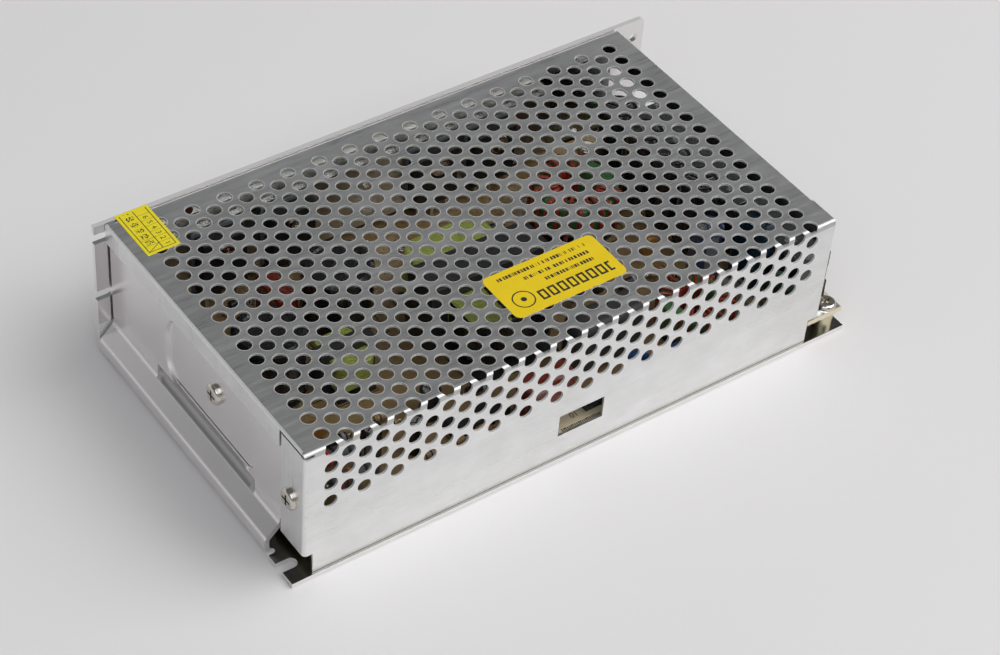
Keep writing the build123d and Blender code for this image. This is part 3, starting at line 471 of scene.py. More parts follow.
@dataclass(frozen=True)
class CoverSheet(FoldedSheet):
    """The perforated cover's sheet, with a painted highlight ringing each punched hole."""

    top: float = 48.28
    panel: float = -53.88
    column_step: float = 10.81
    row_step: float = 6.6
    hole: float = 2.2
    # Width of the painted highlight ring beyond each hole
    rim: float = 0.15
    under_row: float = 2.6
    fold: float = 1.3
    fold_gap: float = 0.6
    fold_outside: float = 1.2
    # How strongly the fold's outside is dulled and darkened with painted shade
    fold_dull_and_shade: float = 0.72
    panel_side: float = -50.0
    top_fields: tuple[HoleField, ...] = (
        HoleField(-6.4875, -84.9, 82.7, -52.6, 49.1), HoleField(-1.0825, -90.3, 77.3, -49.3, 45.8),
    )
    side_fields: tuple[HoleField, ...] = (
        HoleField(-6.4875, -84.9, 82.7, 30.8, 46.7), HoleField(-1.0825, -90.3, 77.3, 27.5, 48.6),
    )

    def rims(self, x: Value, across: Value, fields: tuple[HoleField, ...]) -> Value:
        """Where the painted highlight rings round the punched holes are.

        Args:
            x: millimetres along the case.
            across: millimetres across the rows.
            fields: the fields of holes.

        Returns:
            The painted highlight rings' mask.
        """
        mask = x * 0.0
        half_step, half_row = self.column_step / 2, self.row_step / 2
        for spot in fields:
            off_x = ((x - (spot.column - half_step)) % self.column_step) - half_step
            off_y = ((across - (spot.low - half_row)) % self.row_step) - half_row
            ring = off_x.hypot(off_y) < self.hole + self.rim
            inside = x.within(spot.first, spot.last) * across.within(spot.low - self.under_row, spot.high)
            mask = mask.union(ring * inside)
        return mask

    def cut(self, place: Parts, facing: Parts) -> Value:
        """Painted highlight on the hole rims and walls of the top and of the side panel, and on the broken
        edges off the fold.

        Args:
            place: the position, in millimetres.
            facing: the way the face looks.

        Returns:
            Their mask.
        """
        x, y, z = place
        on_top, on_panel = z > self.top, y < self.panel
        fold = (y < self.panel + self.fold) * (z > self.top - self.fold)
        # Painted highlight on the broken edges, and rings of painted highlight round the holes
        edges = super().cut(place, facing) * on_top.union(on_panel) * (1 - fold)
        top_rim_highlights = self.rims(x, y, self.top_fields) * on_top * (y > self.panel + self.fold_gap)
        side_rim_highlights = self.rims(x, z, self.side_fields) * on_panel * (z < self.top - self.fold_gap)
        return edges.union(top_rim_highlights).union(side_rim_highlights)

    def dull_and_shaded(self, place: Parts, facing: Parts) -> Value:
        """The stretched outside of the long fold, duller and darkened with painted shade."""
        near, high = self.panel + self.fold_outside, self.top - self.fold_outside
        return (place[1] < near) * (place[2] > high) * self.fold_dull_and_shade

    def inside(self, place: Parts, facing: Parts) -> Value:
        """Painted shade on the underside of the top and the inside of the side panel and of the lip."""
        lip = (facing[0] > FACES) * (place[0] < 0.0)
        panel = (facing[1] > LEANS) * (place[1] < self.panel_side)
        return (facing[2] < -LEANS).union(panel).union(lip)


@dataclass(frozen=True)
class ChassisSheet(FoldedSheet):
    """The chassis' sheet: painted shade inside and in the pressed groove, a painted highlight along its
    upper edges.
    """

    walls: Spot = (-92.0, 88.0)
    # Painted highlight on the sheared edge above this height, and on the foot's end
    upper_edge: float = 47.0
    cover_line: float = 45.5
    # Where the pressed groove is darkened with painted shade
    groove: Four = (-27.5, 26.7, 9.9, 15.4)
    wall_face: float = -95.9
    foot: float = -94.0
    foot_end: Spot = (1.6, 11.0)
    plate: float = 4.0
    side_wall: float = 50.0

    def cut(self, place: Parts, facing: Parts) -> Value:
        """The painted highlight on the sheared edge along the top of the side wall and the ear, and on the
        foot's end.
        """
        shorn = (place[2] > self.upper_edge) * (facing[2] > FACES)
        foot_end = (facing[1] < -FACES) * (place[0] < self.foot) * place[2].within(*self.foot_end)
        return shorn.union(foot_end)

    def inside(self, place: Parts, facing: Parts) -> Value:
        """Painted shade on the bottom plate's upper face and the inner faces of the side wall and the end
        wall.

        Args:
            place: the position, in millimetres.
            facing: the way the face looks.

        Returns:
            Their mask.
        """
        floor = (facing[2] > FACES) * (place[2] < self.plate)
        under_cover = place[0].within(*self.walls) * (place[2] < self.cover_line)
        wall = (facing[1] < -LEANS) * (place[1] > self.side_wall) * under_cover
        return floor.union(wall).union((facing[0] > LEANS) * (place[0] < 0.0))

    def dull_and_shaded(self, place: Parts, facing: Parts) -> Value:
        """The inside of the pressed groove, duller and darkened with painted shade."""
        near, far, low, high = self.groove
        return (place[0] > self.wall_face) * place[1].within(near, far) * place[2].within(low, high)


@dataclass(frozen=True)
class LeadedFinish(Finish):
    """A moulded or dipped body above its tinned leads."""

    leads_top: float = 11.5
    lead_colour: Colour = (0.62, 0.60, 0.56)
    lead_roughness: float = 0.3

    def finished(
        self, net: ShaderNet, height: Value, colour: Value, roughness: Value
    ) -> bpy.types.Material:
        """Turns the part below the body into tinned metal.

        Args:
            net: the material's net.
            height: the fine structure.
            colour: the body's colour.
            roughness: the body's roughness.

        Returns:
            The material.
        """
        leads = net.parts(net.place())[2] < self.leads_top * MM
        return net.surface(
            Base_Color=net.mix(leads, colour, self.lead_colour),
            Roughness=net.blend(leads, roughness, self.lead_roughness), Metallic=leads,
            Coat_Weight=self.coat, Coat_Roughness=COAT_ROUGHNESS, Normal=net.bump(height, self.depth),
        )


@dataclass(frozen=True)
class TapeFinish(Finish):
    """Polyester tape wound round a coil, its edges showing one above another."""

    turn: float = 3.4
    line: float = 0.16
    wander: float = 0.3
    line_dark: float = 0.7
    blotches: tuple[float, float, float] = (220.0, 220.0, 90.0)
    # Black on the near side, below a height and past a point along it
    near_dark_colour: Colour = (0.018, 0.018, 0.02)
    near_dark_bounds: tuple[float, float, float] = (99.0, 99.0, 0.0)

    def paint(self, net: ShaderNet, height: Value) -> Value:
        """Darker in the line along each tape edge, blotched, and black on its near side low down and past
        one end.

        Args:
            net: the material's net.
            height: the tape's fine structure.

        Returns:
            The colour.
        """
        x, y, z = net.millimetres()
        edge = ((z + self.wander * height) % self.turn) < self.line
        blotch = net.noise(net.stretched(*self.blotches), FINE)
        tape = net.mix(blotch, shade(self.colour, 0.78), shade(self.colour, 1.16))
        start, near, low = self.near_dark_bounds
        # Black on the near side, below a height and past a point along it
        sleeve = (y < -near) * (x > start).union(z < low)
        lined = net.mix(edge * self.line_dark, tape, shade(self.colour, 0.4))
        return net.mix(sleeve, lined, self.near_dark_colour)


@dataclass(frozen=True)
class BoardFinish(Finish):
    """Phenolic board: lacquered faces, a paler sawn edge and painted light on the near strip."""

    edge_colour: Colour = (0.78, 0.70, 0.50)
    # Painted light on the strip along the near side, behind the window
    window_light_strip: float = -45.5

    def paint(self, net: ShaderNet, height: Value) -> Value:
        """The sawn edge is paler than the lacquered faces; painted light makes the strip along the near side
        paler.
        """
        face = net.mix(height, shade(self.colour, 0.82), shade(self.colour, 1.15))
        # Painted light: the strip along the near side is paler
        bare = net.parts(net.place())[1] < self.window_light_strip * MM
        face = net.mix(bare, face, shade(self.edge_colour, 0.85))
        return net.mix(abs(net.facing()[2]) < LEANS, face, self.edge_colour)


@dataclass(frozen=True)
class BandFinish(Finish):
    """Paint rings, each ring one of a few colours."""

    bands: tuple[Colour, ...] = ()

    def paint(self, net: ShaderNet, height: Value) -> Value:
        """One colour for each ring."""
        pick = net.node("ShaderNodeNewGeometry", output=GEOMETRY_ISLAND)
        count = len(self.bands)
        stops = [(i / count, colour) for i, colour in enumerate(self.bands)]
        return net.node("ShaderNodeValToRGB", {"stops": stops}, {0: pick})


@dataclass(frozen=True)
class PrintedFilm(Finish):
    """Sticker film with dark print on it. Positions are millimetres in the row frame."""

    ink: Colour = (0.03, 0.028, 0.02)
    spot: Spot = (0.0, 0.0)
    across: Spot = (10.0, 10.0)

    def marks(self, net: ShaderNet, x: Value, y: Value) -> Value:
        """Where the ink is, from the position off the sticker's middle."""
        raise NotImplementedError

    def paint(self, net: ShaderNet, height: Value) -> Value:
        """Ink over slightly uneven film.

        Args:
            net: the material's net.
            height: the film's fine structure.

        Returns:
            The colour.
        """
        x, y, _ = net.millimetres()
        film = net.mix(height, shade(self.colour, 0.93), shade(self.colour, 1.06))
        return net.mix(self.marks(net, x - self.spot[0], y - self.spot[1]), film, self.ink)


@dataclass(frozen=True)
class NoticeFilm(PrintedFilm):
    """Hollow blocks and broken bars, with a ring beside them.

    Bars are left, right, bottom and top. A letter is its pitch, width, upright stroke and level stroke.
    Words are their number to a millimetre, the step between rows and how much is left bare. The ring is its
    middle, radius and width.
    """

    headline: Four = (-8.5, 17.0, -6.6, -2.6)
    lines: tuple[Four, ...] = ((-3.0, 14.0, -0.2, 1.1), (-8.5, 15.0, 2.9, 4.2), (-15.5, 15.5, 6.0, 7.3))
    letter: Four = (3.4, 2.6, 0.72, 0.7)
    small_letter: Spot = (1.05, 0.78)
    word: tuple[float, float, float] = (1.15, 7.3, 0.44)
    ring: Four = (-13.3, -3.4, 3.5, 0.42)
    dot: float = 0.9

    def marks(self, net: ShaderNet, x: Value, y: Value) -> Value:
        """A row of hollow blocks, three finer broken lines and a ring with a dot in it.

        Args:
            net: the material's net.
            x: millimetres along the sticker from its middle.
            y: millimetres across it.

        Returns:
            The ink's mask.
        """
        low, high, bottom, top = self.headline
        pitch, width, upright, level = self.letter
        stroke = (x - low) % pitch
        body = x.within(low, high) * y.within(bottom, top) * (stroke < width)
        hollow = stroke.within(upright, width - upright) * y.within(bottom + level, top - level)
        ink = body * (1 - hollow)
        small_pitch, small_width = self.small_letter
        run, step, bare = self.word
        for row, (low, high, bottom, top) in enumerate(self.lines):
            words = net.noise(net.vector(x * run, row * step, 0.0), 1.0) > bare
            letters = (x % small_pitch) < small_width
            ink = ink.union(x.within(low, high) * y.within(bottom, top) * words * letters)
        centre_x, centre_y, radius, width = self.ring
        off = (x - centre_x).hypot(y - centre_y)
        return ink.union(off.within(radius - width, radius)).union(off < self.dot)


@dataclass(frozen=True)
class GridFilm(PrintedFilm):
    """A two-column table: a border, a divider, a line under each row and short dashes in one column.

    The low line and row lines are shares of the line's width. A block is its pitch, how much of it is dashed
    and its room at both sides. Dashes are how fine they are and how much is left bare.
    """

    line: float = 0.26
    low_line: float = 0.8
    row_line: float = 0.7
    row_ink: float = 0.55
    wide_rows: float = 2.4
    slant_line: float = 0.2
    margin: float = 0.9
    divider: float = 0.15
    rows: int = 7
    block: Four = (2.9, 0.66, 1.1, 1.0)
    dashes: Spot = (1.9, 0.53)

    def marks(self, net: ShaderNet, x: Value, y: Value) -> Value:
        """The table's lines and dashes.

        Args:
            net: the material's net.
            x: millimetres across the sticker from its middle.
            y: millimetres along it.

        Returns:
            The ink's mask.
        """
        half_x = self.across[0] / 2 - self.margin
        half_y = self.across[1] / 2 - self.margin
        inside = (abs(x) < half_x) * (abs(y) < half_y)
        up = y + half_y
        border = (abs(x) > half_x - self.line).union(up < self.line * self.low_line)
        column = abs(x - self.divider) < self.line / 2
        pitch = 2 * half_y / self.rows
        ruled = (x > self.divider).union(up < self.wide_rows * pitch)
        row = ((up % pitch) < self.line * self.row_line) * ruled * self.row_ink
        fine, bare = self.dashes
        strokes = net.noise(net.vector(x * fine, y * fine, 0.0), 0.0) > bare
        step, dashed, left, right = self.block
        block = ((up % step) < step * dashed) * x.within(-half_x + left, self.divider - right)
        off_slant = abs((x + half_x) - up * ((self.divider + half_x) / pitch))
        slant = (off_slant < self.slant_line) * (up < pitch)
        return inside * border.union(column).union(row).union(strokes * block * (up > pitch)).union(slant)


COVER_SHEET = CoverSheet(
    "cover_sheet", (0.92, 0.93, 0.915), 0.32, size=0.36, along=9.0, depth=0.0045, spread=0.20
)
CASE_SHEET = ChassisSheet(
    "case_sheet", (0.86, 0.84, 0.84), 0.25, size=0.9, along=22.0, depth=0.0003, spread=0.012
)
SCREW_PLATE = Finish("screw_plate", (0.66, 0.62, 0.56), 0.20, Grain.SPARK, 0.5, 0.003, 0.10, metallic=1.0)
TIN_PLATE = Finish("tin_plate", (0.74, 0.72, 0.68), 0.30, Grain.ROLLED, 0.4, 0.003, 0.08, metallic=1.0)
TIN_WIRE = Finish("tin_wire", (0.66, 0.64, 0.60), 0.32, Grain.ROLLED, 0.3, 0.002, 0.08, metallic=1.0)
SOLDER = Finish("solder", (0.60, 0.60, 0.59), 0.26, Grain.DIPPED, 0.8, 0.010, 0.10, metallic=1.0)
BRASS = Finish("spacer_brass", (0.66, 0.60, 0.42), 0.30, Grain.ROLLED, 0.35, 0.003, 0.08, metallic=1.0)
MILLED_BAR = Finish("milled_bar", (0.62, 0.62, 0.61), 0.30, Grain.ROLLED, 0.5, 0.005, 0.05, metallic=1.0)
CAP_BLACK = Finish("cap_black", (0.02, 0.02, 0.024), 0.26, Grain.SPARK, 0.5, 0.003, 0.10, coat=0.2)
CAN_TOP = Finish("can_top", (0.84, 0.84, 0.83), 0.24, Grain.SPARK, 0.6, 0.003, 0.05, metallic=1.0)
BLOCK_PLASTIC = Finish("block_plastic", (0.016, 0.016, 0.018), 0.42, Grain.SPARK, 0.25, 0.006, 0.15)
FLAP_PLASTIC = Finish(
    "flap_plastic", (0.16, 0.17, 0.17), 0.08, Grain.DIPPED, 6.0, 0.010, 0.01, transmission=0.85, ior=1.49
)
MOULD_BLACK = LeadedFinish(
    "mould_black", (0.018, 0.018, 0.02), 0.50, Grain.SPARK, 0.2, 0.006, 0.15, leads_top=15.5
)
BRIDGE_BLACK = LeadedFinish(
    "bridge_black", (0.02, 0.02, 0.022), 0.48, Grain.SPARK, 0.2, 0.006, 0.15, leads_top=20.5
)
CHIP_BLACK = LeadedFinish(
    "chip_black", (0.02, 0.02, 0.022), 0.46, Grain.SPARK, 0.2, 0.005, 0.15, leads_top=9.6
)
PAD_GREY = Finish("pad_grey", (0.20, 0.22, 0.24), 0.62, Grain.SPARK, 0.5, 0.004, 0.06)
SLEEVE_BLACK = Finish("sleeve_black", (0.018, 0.018, 0.022), 0.22, Grain.DIPPED, 3.0, 0.012, 0.2, coat=0.3)
SLEEVE_BLUE = Finish("sleeve_blue", (0.07, 0.10, 0.20), 0.24, Grain.DIPPED, 3.0, 0.012, 0.15, coat=0.3)
SLEEVE_PRINT = Finish("sleeve_print", (0.26, 0.27, 0.30), 0.32, Grain.DIPPED, 1.0, 0.004, 0.08)
FERRITE = Finish("ferrite", (0.035, 0.035, 0.038), 0.46, Grain.CAST, 0.5, 0.010, 0.25)
COIL_TAPE = TapeFinish("coil_tape", (0.50, 0.58, 0.13), 0.22, Grain.WOUND, 2.0, 0.03, 0.12, coat=0.35)
# The main coil, black on its near side low down and past one end
NEAR_DARK_COIL = TapeFinish(
    "near_dark_coil", COIL_TAPE.colour, 0.22, Grain.WOUND, 2.0, 0.03, 0.12, coat=0.35,
    near_dark_bounds=(-6.5, 9.2, 30.9),
)
BOBBIN_BLACK = Finish("bobbin_black", (0.03, 0.03, 0.032), 0.45, Grain.SPARK, 0.3, 0.006, 0.15)
RING_GREEN = Finish("ring_green", (0.10, 0.26, 0.10), 0.38, Grain.DIPPED, 0.7, 0.02, 0.18, coat=0.15)
WIRE_RED = Finish("wire_red", (0.42, 0.055, 0.030), 0.20, Grain.ROLLED, 0.8, 0.004, 0.2, coat=0.6)
FILM_RED = LeadedFinish("film_red", (0.26, 0.045, 0.025), 0.26, Grain.DIPPED, 2.2, 0.02, 0.14, coat=0.4)
FILM_TEAL = LeadedFinish("film_teal", (0.008, 0.035, 0.055), 0.26, Grain.DIPPED, 2.2, 0.02, 0.14, coat=0.4)
FILM_GREY = LeadedFinish("film_grey", (0.07, 0.07, 0.075), 0.42, Grain.SPARK, 0.3, 0.006, 0.06)
DISC_BLUE = LeadedFinish("disc_blue", (0.03, 0.13, 0.36), 0.30, Grain.DIPPED, 1.6, 0.03, 0.14, coat=0.3)
DISC_GREEN = LeadedFinish("disc_green", (0.012, 0.045, 0.025), 0.36, Grain.DIPPED, 1.6, 0.03, 0.16)
DISC_TAN = LeadedFinish("disc_tan", (0.46, 0.22, 0.06), 0.36, Grain.DIPPED, 1.3, 0.03, 0.14)
RESISTOR_TAN = Finish("resistor_tan", (0.46, 0.32, 0.16), 0.34, Grain.DIPPED, 1.0, 0.01, 0.08, coat=0.2)
RESISTOR_GREY = Finish("resistor_grey", (0.10, 0.12, 0.12), 0.50, Grain.DIPPED, 0.9, 0.02, 0.12)
RESISTOR_BANDS = BandFinish(
    "resistor_bands", (0.2, 0.2, 0.2), 0.36, Grain.DIPPED, 1.0, 0.004,
    bands=(
        (0.20, 0.05, 0.02), (0.62, 0.05, 0.03), (0.02, 0.02, 0.02), (0.55, 0.36, 0.05), (0.75, 0.24, 0.03),
    ),
)
DIODE_BLACK = Finish("diode_black", (0.022, 0.022, 0.024), 0.32, Grain.SPARK, 0.3, 0.005, 0.15)
DIODE_BAND = Finish("diode_band", (0.55, 0.56, 0.58), 0.40, Grain.SPARK, 0.4, 0.004, 0.06)
TRIMMER_BLUE = Finish("trimmer_blue", (0.02, 0.10, 0.34), 0.34, Grain.SPARK, 0.3, 0.005, 0.10)
ROTOR_WHITE = Finish("rotor_white", (0.72, 0.71, 0.66), 0.40, Grain.SPARK, 0.3, 0.005, 0.05)
LAMP_GREEN = Finish(
    "lamp_green", (0.05, 0.48, 0.12), 0.10, Grain.DIPPED, 2.0, 0.004, 0.05, transmission=0.5
)
FUSE_GLASS = Finish(
    "fuse_glass", (0.90, 0.93, 0.92), 0.05, Grain.DIPPED, 5.0, 0.006, 0.01, transmission=0.95
)
BOARD_TAN = BoardFinish("board_tan", (0.36, 0.25, 0.12), 0.32, Grain.FIBRE, 0.6, 0.004, 0.10, coat=0.25)
BOARD_PRINT = Finish("board_print", (0.035, 0.025, 0.015), 0.50, Grain.SPARK, 0.4, 0.002, 0.10)
FILM_SHEET = Finish("film_sheet", (0.10, 0.11, 0.09), 0.42, Grain.SPARK, 0.8, 0.006, 0.05)
NOTICE_FILM = NoticeFilm(
    "notice_film", (0.84, 0.61, 0.009), 0.36, Grain.DIPPED, 5.0, 0.010, 0.03,
    spot=(2.3, -31.2), across=(39.0, 18.9),
)
GRID_FILM = GridFilm(
    "grid_film", (0.82, 0.70, 0.020), 0.38, Grain.DIPPED, 5.0, 0.010, 0.03,
    spot=(-86.8, 45.3), across=(10.6, 19.8),
)


def added(name: str, data: bpy.types.ID) -> bpy.types.Object:
    """An object with this name and data, put in the scene."""
    made = bpy.data.objects.new(name, data)
    bpy.context.scene.collection.objects.link(made)
    return made


@dataclass
class Assembly:
    """Pieces that belong together. Sizes are millimetres in the row frame."""

    body: str = "case"

    def dress(self, finish: Finish, *nodes: str) -> None:
        """Gives CAD nodes a finish.

        Args:
            finish: the finish.
            nodes: the nodes' names.
        """
        for name in nodes:
            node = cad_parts[name]
            for holder in node.material_slots:
                holder.link = "OBJECT"
                holder.material = finish.material()
            log.info("dressed %s in %s", name, finish.name)

    def soften(self, name: str, width: float, segments: int = 1) -> None:
        """Breaks a CAD node's sharp edges.

        Args:
            name: the node's name.
            width: how far the edge is broken, in millimetres.
            segments: faces across it.
        """
        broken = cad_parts[name].modifiers.new("broken_edges", "BEVEL")
        broken.width = width * MM
        broken.segments = segments
        broken.limit_method = "ANGLE"
        broken.angle_limit = BREAK_ANGLE

    def piece(self, name: str, form: bmesh.types.BMesh, finish: Finish, slot: str) -> bpy.types.Object:
        """Turns a mesh into a piece that rides on this assembly's body.

        Args:
            name: the piece's name.
            form: its mesh, in metres.
            finish: its finish.
            slot: not used.

        Returns:
            The piece.
        """
        mesh = bpy.data.meshes.new(name)
        form.to_mesh(mesh)
        form.free()
        mesh.shade_smooth()
        made = added(name, mesh)
        mesh.materials.append(finish.material())
        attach(made, self.body)
        log.info("built %s, %d faces", name, len(mesh.polygons))
        return made


class Form:
    """A mesh that is built up from simple swept shapes, in millimetres."""

    def __init__(self) -> None:
        """Starts with nothing."""
        self.mesh = bmesh.new()

    def rings(self, loops: list[list[Vector]]) -> None:
        """Skins a row of loops with the same number of points, and closes both ends.

        Args:
            loops: the loops, in order.
        """
        made = [[self.mesh.verts.new(p * MM) for p in loop] for loop in loops]
        count = len(made[0])
        for low, high in zip(made, made[1:]):
            for i in range(count):
                j = (i + 1) % count
                self.mesh.faces.new((low[i], low[j], high[j], high[i]))
        self.mesh.faces.new(list(reversed(made[0])))
        self.mesh.faces.new(made[-1])

    def turned(self, profile: list[Spot], centre: Vector, axis: str = "Z", sides: int = 32) -> None:
        """Turns a profile of (radius, distance along) points about an axis through a centre.

        Args:
            profile: the points, from one end to the other.
            centre: where distance 0 is.
            axis: X, Y or Z.
            sides: points round each loop.
        """
        turn = {"X": Matrix.Rotation(math.pi / 2, 4, "Y"), "Y": Matrix.Rotation(-math.pi / 2, 4, "X")}
        spin = turn.get(axis, Matrix.Identity(4))
        angles = [2 * math.pi * i / sides for i in range(sides)]
        self.rings([
            [centre + spin @ Vector((radius * math.cos(a), radius * math.sin(a), along)) for a in angles]
            for radius, along in profile
        ])

    def tube(self, path: list[Vector], radius: float, sides: int = 10) -> None:
        """A round wire along a path.

        Args:
            path: its points.
            radius: the wire's radius.
            sides: points round it.
        """
        loops = []
        angles = [2 * math.pi * i / sides for i in range(sides)]
        across = (path[1] - path[0]).normalized().orthogonal().normalized()
        for i, point in enumerate(path):
            ahead = (path[min(i + 1, len(path) - 1)] - path[max(i - 1, 0)]).normalized()
            across = (across - ahead * across.dot(ahead)).normalized()
            up = ahead.cross(across)
            loops.append([point + (across * math.cos(a) + up * math.sin(a)) * radius for a in angles])
        self.rings(loops)

    def slab(self, low: Vector, high: Vector) -> None:
        """A flat-sided bar between two corners."""
        corners = [(low.x, low.y), (high.x, low.y), (high.x, high.y), (low.x, high.y)]
        self.rings([[Vector((x, y, z)) for x, y in corners] for z in (low.z, high.z)])


def bent(start: Vector, corner: Vector, end: Vector, radius: float) -> list[Vector]:
    """Points from start to end by way of a rounded corner.

    Args:
        start: the first point.
        corner: where the two runs would meet.
        end: the last point.
        radius: how far before and after the corner the bend lies.

    Returns:
        The points.
    """
    first = corner + (start - corner).normalized() * radius
    last = corner + (end - corner).normalized() * radius
    points = [start]
    for i in range(BEND_STEPS + 1):
        t = i / BEND_STEPS
        points.append(first.lerp(corner, t).lerp(corner.lerp(last, t), t))
    return points + [end]


@dataclass
class CaseShell(Assembly):
    """The folded chassis and cover, their screws and the two stickers."""

    rim: float = 0.19
    chassis_edge: float = 0.07
    strip_width: float = 0.5
    end_strip: tuple[float, float, float, float, float] = (84.9, -53.8, 53.0, 40.4, 48.35)
    digit_size: float = 2.4
    digit_column: float = -84.6
    first_digit: float = 37.59
    digit_pitch: float = 2.571
    sticker_top: float = 49.12
    ink_gap: float = 0.015

    def dress_sheets(self) -> None:
        """Gives the two sheets their rolled finish and breaks their edges, hole rims included."""
        self.dress(COVER_SHEET, "cover")
        self.dress(CASE_SHEET, "chassis")
        self.soften("cover", self.rim)
        self.soften("chassis", self.chassis_edge)

    def hang_end_strip(self) -> None:
        """Adds the black film strip under the cover's end, seen dark through the last holes."""
        form = Form()
        x, near, far, low, high = self.end_strip
        form.slab(Vector((x - self.strip_width, near, low)), Vector((x, far, high)))
        self.piece("cover_end_strip", form.mesh, MOULD_BLACK, "black_mould")

    def dress_fasteners(self) -> None:
        """Gives the case's screws and nut their plating."""
        self.dress(SCREW_PLATE, "flange_screw", "cover_screws", "bar_screws", "bridge_screw", "bridge_nut")

    def apply_stickers(self) -> None:
        """Prints the stickers and puts plain digits in the table's cells."""
        self.dress(NOTICE_FILM, "top_label")
        self.dress(GRID_FILM, "grid_label")
        for i in range(6):
            text = bpy.data.curves.new(f"digit_{i + 1}", "FONT")
            text.body = str(i + 1)
            text.size = self.digit_size * MM
            text.align_x = "CENTER"
            text.align_y = "CENTER"
            digit = added(text.name, text)
            y = self.first_digit + i * self.digit_pitch
            spot = Vector((self.digit_column, y, self.sticker_top + self.ink_gap)) * MM
            digit.matrix_world = Matrix.Translation(spot) @ Matrix.Rotation(-math.pi / 2, 4, "Z")
            text.materials.append(BOARD_PRINT.material())
            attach(digit, self.body)

    def build(self) -> None:
        """Dresses the whole shell."""
        self.dress_sheets()
        self.hang_end_strip()
        self.dress_fasteners()
        self.apply_stickers()


@dataclass
class Board(Assembly):
    """The board with its printed outlines and solder, its spacers and the insulating sheet."""

    top: float = 9.1
    under: float = 7.5
    print_height: float = 0.03
    line: float = 0.3
    outlined: tuple[str, ...] = (
        "bulk_capacitor_left", "bulk_capacitor_right", "output_capacitor_1", "output_capacitor_2",
        "output_capacitor_3", "output_capacitor_4", "filter_capacitor", "main_transformer_coil",
        "drive_transformer_coil", "output_choke_coil", "film_capacitor_near", "film_capacitor_left",
        "film_capacitor_end", "line_capacitor", "control_chip", "fuse_clips",
    )
    outline_gap: float = 0.7
    ticks: tuple[float, float, float, int] = (-6.6, 13.4, -53.8, 21)
    tick: Spot = (0.36, 2.0)
    short_tick: float = 0.7
    hook: Spot = (1.0, 0.3)
    digits: tuple[float, float, float] = (1.7, -47.8, 2.9)
    ink_gap: float = 0.02
    ribbed: Four = (4.0, -49.7, 11.8, -47.2)
    ribs: int = 9
    rib_base: float = 0.8
    rib_top: float = 1.4
    rib_share: float = 0.6
    rib_gap: float = 0.2
    earth_pad: Four = (88.8, -54.2, 98.6, -47.7)
    joint: Spot = (1.1, 0.9)
    joint_profile: tuple[Spot, ...] = ((1.0, 0.0), (0.62, 0.3), (0.36, 1.0))
    joint_tip: Spot = (0.1, 1.15)
    joint_reach: float = 0.32

    def outline(self, form: Form, low: Vector, high: Vector) -> None:
        """Draws a printed rectangle on the board.

        Args:
            form: the mesh that it is added to.
            low: its lower corner.
            high: its upper corner.
        """
        z = (self.top, self.top + self.print_height)
        t = self.line
        bars = (
            (low.x, low.y, high.x, low.y + t), (low.x, high.y - t, high.x, high.y),
            (low.x, low.y, low.x + t, high.y), (high.x - t, low.y, high.x, high.y),
        )
        for x0, y0, x1, y1 in bars:
            form.slab(Vector((x0, y0, z[0])), Vector((x1, y1, z[1])))

    def print_outlines(self) -> None:
        """Prints an outline round each large part and a row of ticks along the near edge."""
        form = Form()
        gap = Vector((self.outline_gap, self.outline_gap, 0.0))
        for name in self.outlined:
            low, high = (Vector(c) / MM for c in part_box(name))
            self.outline(form, low - gap, high + gap)
        start, length, y, count = self.ticks
        width, long = self.tick
        inked = self.top + self.print_height
        for i in range(count):
            x = start + length * i / (count - 1)
            low = y + (0.0 if i % 3 else self.short_tick)
            form.slab(Vector((x, low, self.top)), Vector((x + width, y + long, inked)))
            if i % 4 == 1:
                corner = Vector((x, y + long - self.hook[1], self.top))
                form.slab(corner, Vector((x + self.hook[0], y + long, inked)))
        self.piece("board_outlines", form.mesh, BOARD_PRINT, "board")

    def print_number(self) -> None:
        """Prints a plain number on the board inside the window, read from the far side."""
        x, y, size = self.digits
        text = bpy.data.curves.new("board_number", "FONT")
        text.body = "10"
        text.size = size * MM
        number = added("board_number", text)
        spot = Vector((x, y, self.top + self.ink_gap)) * MM
        number.matrix_world = Matrix.Translation(spot) @ Matrix.Rotation(math.pi, 4, "Z")
        text.materials.append(BOARD_PRINT.material())
        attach(number, self.body)

    def ribbed_strip(self) -> None:
        """Sets the small ribbed strip on the board behind the window's upper corner."""
        form = Form()
        x0, y0, x1, y1 = self.ribbed
        low, high = self.top + self.rib_base, self.top + self.rib_top
        form.slab(Vector((x0, y0, self.top)), Vector((x1, y1, low)))
        step = (x1 - x0) / self.ribs
        for i in range(self.ribs):
            x = x0 + step * (i + (1.0 - self.rib_share) / 2)
            corner = Vector((x, y0 + self.rib_gap, low))
            form.slab(corner, Vector((x + step * self.rib_share, y1 - self.rib_gap, high)))
        self.piece("ribbed_strip", form.mesh, BOBBIN_BLACK, "bobbin")

    def earth(self) -> None:
        """Tins the corner of the board round the earth screw."""
        form = Form()
        x0, y0, x1, y1 = self.earth_pad
        form.slab(Vector((x0, y0, self.top)), Vector((x1, y1, self.top + self.print_height)))
        self.piece("earth_pad", form.mesh, SOLDER, "tin")

    def solder_joints(self) -> None:
        """Puts a cone of solder under the ends of each large part."""
        form = Form()
        radius, height = self.joint
        tip, drop = self.joint_tip
        profile = [(radius * wide, -height * down) for wide, down in self.joint_profile]
        profile.append((tip, -height * drop))
        for name in self.outlined:
            low, high = (Vector(c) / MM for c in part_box(name))
            middle = (low + high) / 2
            reach = Vector(((high.x - low.x) * self.joint_reach, 0, 0))
            if high.y - low.y > high.x - low.x:
                reach = Vector((0, (high.y - low.y) * self.joint_reach, 0))
            for spot in (middle + reach, middle - reach):
                form.turned(profile, Vector((spot.x, spot.y, self.under)), sides=16)
        self.piece("solder_joints", form.mesh, SOLDER, "tin")

